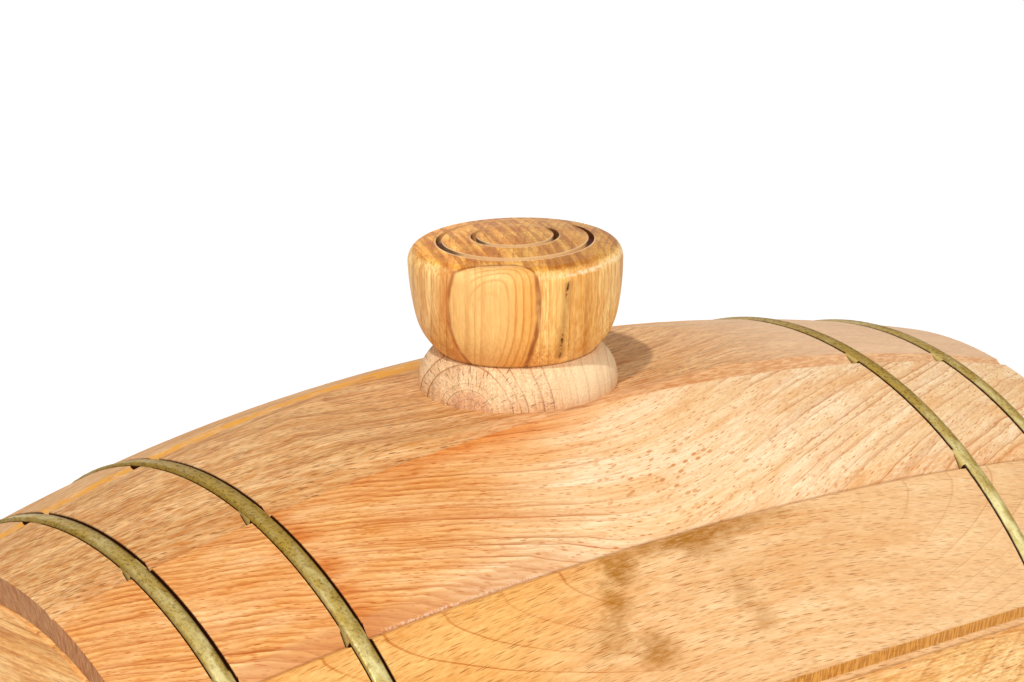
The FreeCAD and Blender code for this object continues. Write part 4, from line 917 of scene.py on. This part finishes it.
def paint_sapwood(g, made, place, waver, front):
    """A slice of pale sapwood with dark outlines, and the wood beside it. Gives its mask as well."""
    right, up, near = g.separate(place)
    side = g.add(right, waver)
    down = g.larger(g.mul(up, -1.0), 0.0)
    left_line = g.sub(g.mul(g.mul(up, up), SAP_LEFT_CURVE), SAP_LEFT)
    right_line = g.sub(SAP_RIGHT, g.mul(g.mul(down, down), SAP_RIGHT_CURVE))
    from_left = g.sub(side, left_line)
    from_right = g.sub(right_line, side)
    tip = g.larger(g.sub(right, SAP_TIP), 0.0)
    arch = g.sub(SAP_TOP, g.mul(g.sub(SAP_SHOULDER, up), SAP_TOP_SLOPE))
    arch = g.add(arch, g.mul(g.mul(tip, tip), SAP_TIP_CURVE))
    from_top = g.add(g.sub(near, arch), g.mul(waver, 0.3))
    inside = g.math("MINIMUM", g.math("MINIMUM", from_left, from_right), from_top)
    pale = g.mul(g.smooth(inside, -0.1, 0.5), front)
    # Fine lines nest inside the slice, beside its right line and its arch.
    from_outline = g.math("SMOOTH_MIN", from_right, g.mul(from_top, 1.4), SAP_CORNER)
    nest = g.math("FRACT", g.mul(g.add(from_outline, g.mul(waver, 0.6)), NEST_STEP))
    nest = g.band(nest, (0.5, 0.9), (1.0, 0.92))
    nest = g.mul(nest, g.mul(g.smooth(from_left, 2.0, 7.0), g.smooth(from_outline, 11.0, 4.0)))
    sap_lines = g.larger(g.mul(made["late"], 0.7), nest)
    sapwood = g.mix(g.smooth(from_right, 10.0, 1.0), SAP_LIGHT, SAP_DARK)
    sap = g.paint(sapwood, SAP_LINE, sap_lines, 0.7)
    grain = g.noise(place, (0.5, 8.0, 0.5), detail=3.0, roughness=0.65)
    sap = g.scale_colour(sap, g.smooth(grain, 0.35, 0.65, 0.9, 1.05))
    colour = g.paint(made["colour"], sap, pale, 0.85)
    # Right of the slice the wood is pale again, then darker beyond the crack.
    band = g.mul(g.band(right, *PALE_BAND_SIDEWAYS), front)
    colour = g.paint(colour, PALE_BAND, band, 0.35)
    dusk = g.mul(g.band(right, *DUSK_SIDEWAYS), front)
    colour = g.paint(colour, DUSK, dusk, 0.4)
    outline = g.smooth(g.absolute(inside), 0.75, 0.1)
    patchy = g.noise(place, (2.0, 4.0, 2.0), detail=3.0)
    outline = g.mul(g.mul(outline, front), g.smooth(patchy, 0.35, 0.6, 0.45, 1.0))
    colour = g.paint(colour, SAP_OUTLINE, outline, 0.75)
    seam = g.mul(g.smooth(g.absolute(from_right), 1.1, 0.2), g.smooth(from_top, -0.5, 0.5))
    seam = g.mul(g.mul(seam, front), g.smooth(patchy, 0.3, 0.6, 0.5, 1.0))
    colour = g.paint(colour, SAP_SEAM, seam, 0.6)
    beside = g.band(from_left, (-5.0, -0.4), (0.4, -0.4))
    return g.paint(colour, SAP_BESIDE, g.mul(beside, front), 0.4), pale


def paint_crack(g, colour, place, waver, front):
    """One dark drying crack right of the pale slice, open in two parts."""
    right, up, _ = g.separate(place)
    track = g.add(g.add(CRACK_SIDEWAYS, g.mul(up, CRACK_LEAN)), g.mul(waver, 0.35))
    off_track = g.absolute(g.sub(right, track))
    broken = g.smooth(g.noise(place, (1.0, 1.0, 4.0), detail=3.0, roughness=0.7), 0.42, 0.6)
    along_crack = g.mul(g.smooth(up, *CRACK_TOP), g.mul(front, g.smooth(up, *CRACK_FOOT)))
    open_part = g.larger(g.smooth(up, *CRACK_UPPER), g.smooth(up, *CRACK_LOWER))
    crack = g.mul(g.mul(g.smooth(off_track, 0.5, 0.05), broken), g.mul(along_crack, open_part))
    halo = g.mul(g.smooth(off_track, 1.8, 0.2), along_crack)
    colour = g.paint(colour, CRACK_HALO, halo, 0.5)
    return g.mix(crack, colour, CRACK_DARK)


def knob_material():
    """Golden-brown wood with its grain upright, and a slice of pale sapwood on the near side."""
    g = Graph("knob_fruitwood")
    place = grain_frame(g, KNOB_AXIS + Vector((0.0, 0.0, KNOB_LEVEL)), UPWARD, NEAR)
    made = wood(g, place, **KNOB_LOOK)
    right, up, near = g.separate(place)
    waver = g.mul(g.sub(g.noise(place, (7.0, 12.0, 7.0)), 0.5), 1.6)
    front = g.smooth(near, *KNOB_FRONT)
    colour, pale = paint_sapwood(g, made, place, waver, front)
    colour = paint_crack(g, colour, place, waver, front)
    # The top is painted browner and darker, partly as painted shade on the upward face, and lighter on the
    # left than on the right, with the year rings as slanting stripes.
    top = g.mul(g.smooth(facing(g, UPWARD), 0.6, 0.85), g.sub(1.0, g.mul(pale, 0.85)))
    slant = g.combine(g.sub(right, g.mul(near, 0.26)), up, near)
    stripes = g.smooth(g.noise(slant, (1.5, 6.0, 26.0), roughness=0.55), 0.4, 0.6)
    top_tan_and_shade = g.mix(stripes, TOP_DARK, TOP_LIGHT)
    top_tan_and_shade = g.scale_colour(top_tan_and_shade, g.smooth(right, -20.0, 20.0, 1.22, 0.8))
    colour = g.mix(top, colour, top_tan_and_shade, blend="MULTIPLY")
    colour = finish_knob_rings(g, colour, right, up, near)
    # The turned edge is pale on the right, partly worn and partly a painted highlight.
    rubbed = g.noise(place, (1.2, 1.2, 1.2), detail=3.0)
    arris = g.mul(g.band(up, *ARRIS_UP), g.smooth(right, *ARRIS_SIDEWAYS))
    arris = g.mul(arris, g.smooth(rubbed, 0.35, 0.6))
    made["colour"] = g.paint(colour, ARRIS_WEAR_AND_HIGHLIGHT, arris, 0.8)
    return satin(g, made, roughness=0.48, bump=0.35, gloss=0.16)


# ---------- Heads, tap and cradle ----------

HEAD_LOOK = {
    "light": srgb(250, 196, 128), "dark": srgb(240, 176, 102), "tint": srgb(226, 148, 74), "tint_share": 0.45,
    "ring": srgb(164, 92, 38), "ring_strength": 0.75, "ring_spacing": 2.6, "tilt": (0.03, 0.02),
    "dash_strength": 0.5,
}
HEAD_SLOPE = 6.0
HEAD_STATION = 135.6
HEAD_SEED = 20.0
# The pith's place across the upper board, its step from board to board, and its depth.
HEAD_PITH = (20.0, -34.0, -52.0)
HEAD_END = srgb(176, 118, 72)
# Half the width of the dark line at a joint between two head boards, in mm, and where it is full.
HEAD_JOINT = 0.5
HEAD_JOINT_FULL = 0.1
HEAD_JOINT_DARK = srgb(120, 70, 34)

TAP_LOOK = {
    "light": srgb(222, 164, 98), "dark": srgb(200, 138, 76), "tint": srgb(186, 110, 54), "tint_share": 0.4,
    "ring": srgb(146, 82, 36), "ring_strength": 0.5, "ring_spacing": 2.1,
    "pith": (5.0, -34.0), "tilt": (0.04, 0.02),
    "dash_strength": 0.3, "dash_size": (0.45, 3.4, 2.4), "fibre": 0.14,
}
TAP_END = srgb(140, 90, 48)
TAP_CENTRE = Vector((0.0, -105.05, 130.0))
CRADLE_LOOK = {"ring_spacing": 2.8, "pith": (10.0, -70.0), "tilt": (0.02, 0.03)}
CRADLE_END = srgb(168, 116, 72)
CRADLE_CENTRE = Vector((0.0, 32.05, 40.0))

# Each piece's run of the grain, the side that its face looks to, and its seed.
TAP_GRAIN = {
    "tap_body": (LENGTHWISE, UPWARD, 31.0),
    "tap_key": (UPWARD, ACROSS, 32.0),
    "tap_handle": (ACROSS, UPWARD, 33.0),
    "tap_spout": (UPWARD, ACROSS, 34.0),
}
CRADLE_GRAIN = {
    "front_saddle": (ACROSS, FRONTWARD, 41.0),
    "rear_saddle": (ACROSS, FRONTWARD, 42.0),
    "left_rail": (LENGTHWISE, UPWARD, 43.0),
    "right_rail": (LENGTHWISE, UPWARD, 44.0),
}


def head_material(name, end, number):
    """A head board; its grain lies a little off the level."""
    g = Graph(name + "_beech")
    slope = math.radians(HEAD_SLOPE)
    along = (math.cos(slope), 0.0, math.sin(slope))
    place = grain_frame(g, CASK_AXIS + Vector((0.0, end * HEAD_STATION, 0.0)), along, (0.0, float(end), 0.0))
    first, step, depth = HEAD_PITH
    made = wood(g, place, **HEAD_LOOK, pith=(first + step * number, depth), seed=HEAD_SEED + number + end)
    ends = g.smooth(g.absolute(facing(g, along)), END_FACE, END_FACE_FULL)
    colour = g.paint(made["colour"], HEAD_END, ends, 0.5)
    low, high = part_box(name)
    height = g.separate(g.node("ShaderNodeTexCoord").outputs["Object"])[2]
    for joint in (low[2], high[2]):
        line = g.smooth(g.absolute(g.sub(height, joint)), HEAD_JOINT * MM, HEAD_JOINT_FULL * MM)
        colour = g.paint(colour, HEAD_JOINT_DARK, line, 0.6)
    made["colour"] = colour
    return satin(g, made, roughness=0.48)


def tap_material(name):
    g = Graph(name + "_wood")
    along, outward, seed = TAP_GRAIN[name]
    made = wood(g, grain_frame(g, TAP_CENTRE, along, outward), **TAP_LOOK, seed=seed)
    ends = g.smooth(g.absolute(facing(g, along)), 0.8, 0.95)
    made["colour"] = g.paint(made["colour"], TAP_END, ends, 0.45)
    return satin(g, made, roughness=0.42, bump=0.25)


def cradle_material(name):
    g = Graph(name + "_wood")
    along, outward, seed = CRADLE_GRAIN[name]
    made = wood(g, grain_frame(g, CRADLE_CENTRE, along, outward), **CRADLE_LOOK, seed=seed)
    ends = g.smooth(g.absolute(facing(g, along)), END_FACE, END_FACE_FULL)
    made["colour"] = g.paint(made["colour"], CRADLE_END, ends, 0.5)
    return satin(g, made)


# ---------- Dressing the nodes ----------


def dress(name, material):
    """Every slot of a node's mesh takes the material."""
    for slot in NODES[name].material_slots:
        slot.material = material


def dress_all():
    for name, middle in stave_middles().items():
        dress(name, stave_material(name, middle))
    for end, side in ((-1, "front"), (1, "rear")):
        for number, board in enumerate(("upper", "middle", "lower")):
            name = f"{side}_head_{board}_board"
            dress(name, head_material(name, end, number))
    for name, station in zip(HOOPS, HOOP_STATIONS):
        dress(name, hoop_material(name, station))
    cork = cork_material()
    for name in ("stopper_cork", "tap_washer", "tap_cork_liner"):
        dress(name, cork)
    dress("bung_collar", collar_material())
    dress("stopper_knob", knob_material())
    for name in TAP_GRAIN:
        dress(name, tap_material(name))
    for name in CRADLE_GRAIN:
        dress(name, cradle_material(name))
    dress("cradle_screws", screw_material())
    dress("cradle_feet", rubber_material())


dress_all()

# ---------- Studio ----------

WHITE = (1.0, 1.0, 1.0)
FLOOR_HALF = 9.0
FLOOR_GREY = (0.86, 0.86, 0.86)
FLOOR_GLOW = 0.3
AMBIENT = 0.40
AMBIENT_COLOUR = (1.0, 0.95, 0.88)
KEY_DIRECTION = (0.31, -0.47, 0.825)
KEY_STRENGTH = 1.7
KEY_COLOUR = (0.99, 1.0, 1.03)
KEY_ANGLE = 2.2
FILL_PLACE = (1.15, -0.45, 0.85)
FILL_TARGET = (0.0, 0.0, 0.25)
FILL_SIZE = 1.3
FILL_POWER = 9.0


def seen_rays(g):
    """1 for rays from the camera, and for those that a shiny surface or glass sends on."""
    path = g.node("ShaderNodeLightPath").outputs
    seen = g.larger(path["Is Camera Ray"], path["Is Glossy Ray"])
    return g.larger(seen, path["Is Transmission Ray"])


def make_world():
    world = bpy.data.worlds.new("studio")
    bpy.context.scene.world = world
    g = Graph("studio", world)
    plain = g.node("ShaderNodeBackground", {"Color": AMBIENT_COLOUR, "Strength": AMBIENT})
    white = g.node("ShaderNodeBackground", {"Color": WHITE, "Strength": 1.0})
    both = g.node("ShaderNodeMixShader", {0: seen_rays(g), 1: plain.outputs[0], 2: white.outputs[0]})
    g.node("ShaderNodeOutputWorld", {"Surface": both.outputs[0]})


def make_floor():
    mesh = bpy.data.meshes.new("floor")
    size = FLOOR_HALF
    corners = [(-size, -size, 0.0), (size, -size, 0.0), (size, size, 0.0), (-size, size, 0.0)]
    mesh.from_pydata(corners, [], [(0, 1, 2, 3)])
    g = Graph("floor_white")
    matte = g.node("ShaderNodeBsdfDiffuse", {"Color": FLOOR_GREY})
    glow = g.node("ShaderNodeEmission", {"Color": WHITE, "Strength": g.mul(seen_rays(g), FLOOR_GLOW)})
    both = g.node("ShaderNodeAddShader", {0: matte.outputs[0], 1: glow.outputs[0]})
    g.node("ShaderNodeOutputMaterial", {"Surface": both.outputs[0]})
    mesh.materials.append(g.owner)
    floor = bpy.data.objects.new("floor", mesh)
    bpy.context.scene.collection.objects.link(floor)


def make_lamp(data, towards_lamp):
    """A lamp object that shines away from a direction."""
    lamp = bpy.data.objects.new(data.name, data)
    lamp.rotation_euler = towards_lamp.to_track_quat("Z", "Y").to_euler()
    bpy.context.scene.collection.objects.link(lamp)
    return lamp


def make_lamps():
    key = bpy.data.lights.new("key", "SUN")
    key.energy = KEY_STRENGTH
    key.angle = math.radians(KEY_ANGLE)
    key.color = KEY_COLOUR
    make_lamp(key, Vector(KEY_DIRECTION))
    fill = bpy.data.lights.new("fill", "AREA")
    fill.shape = "SQUARE"
    fill.size = FILL_SIZE
    fill.energy = FILL_POWER
    lamp = make_lamp(fill, Vector(FILL_PLACE) - Vector(FILL_TARGET))
    lamp.location = FILL_PLACE


make_world()
make_floor()
make_lamps()
bpy.context.scene.view_settings.view_transform = "Standard"
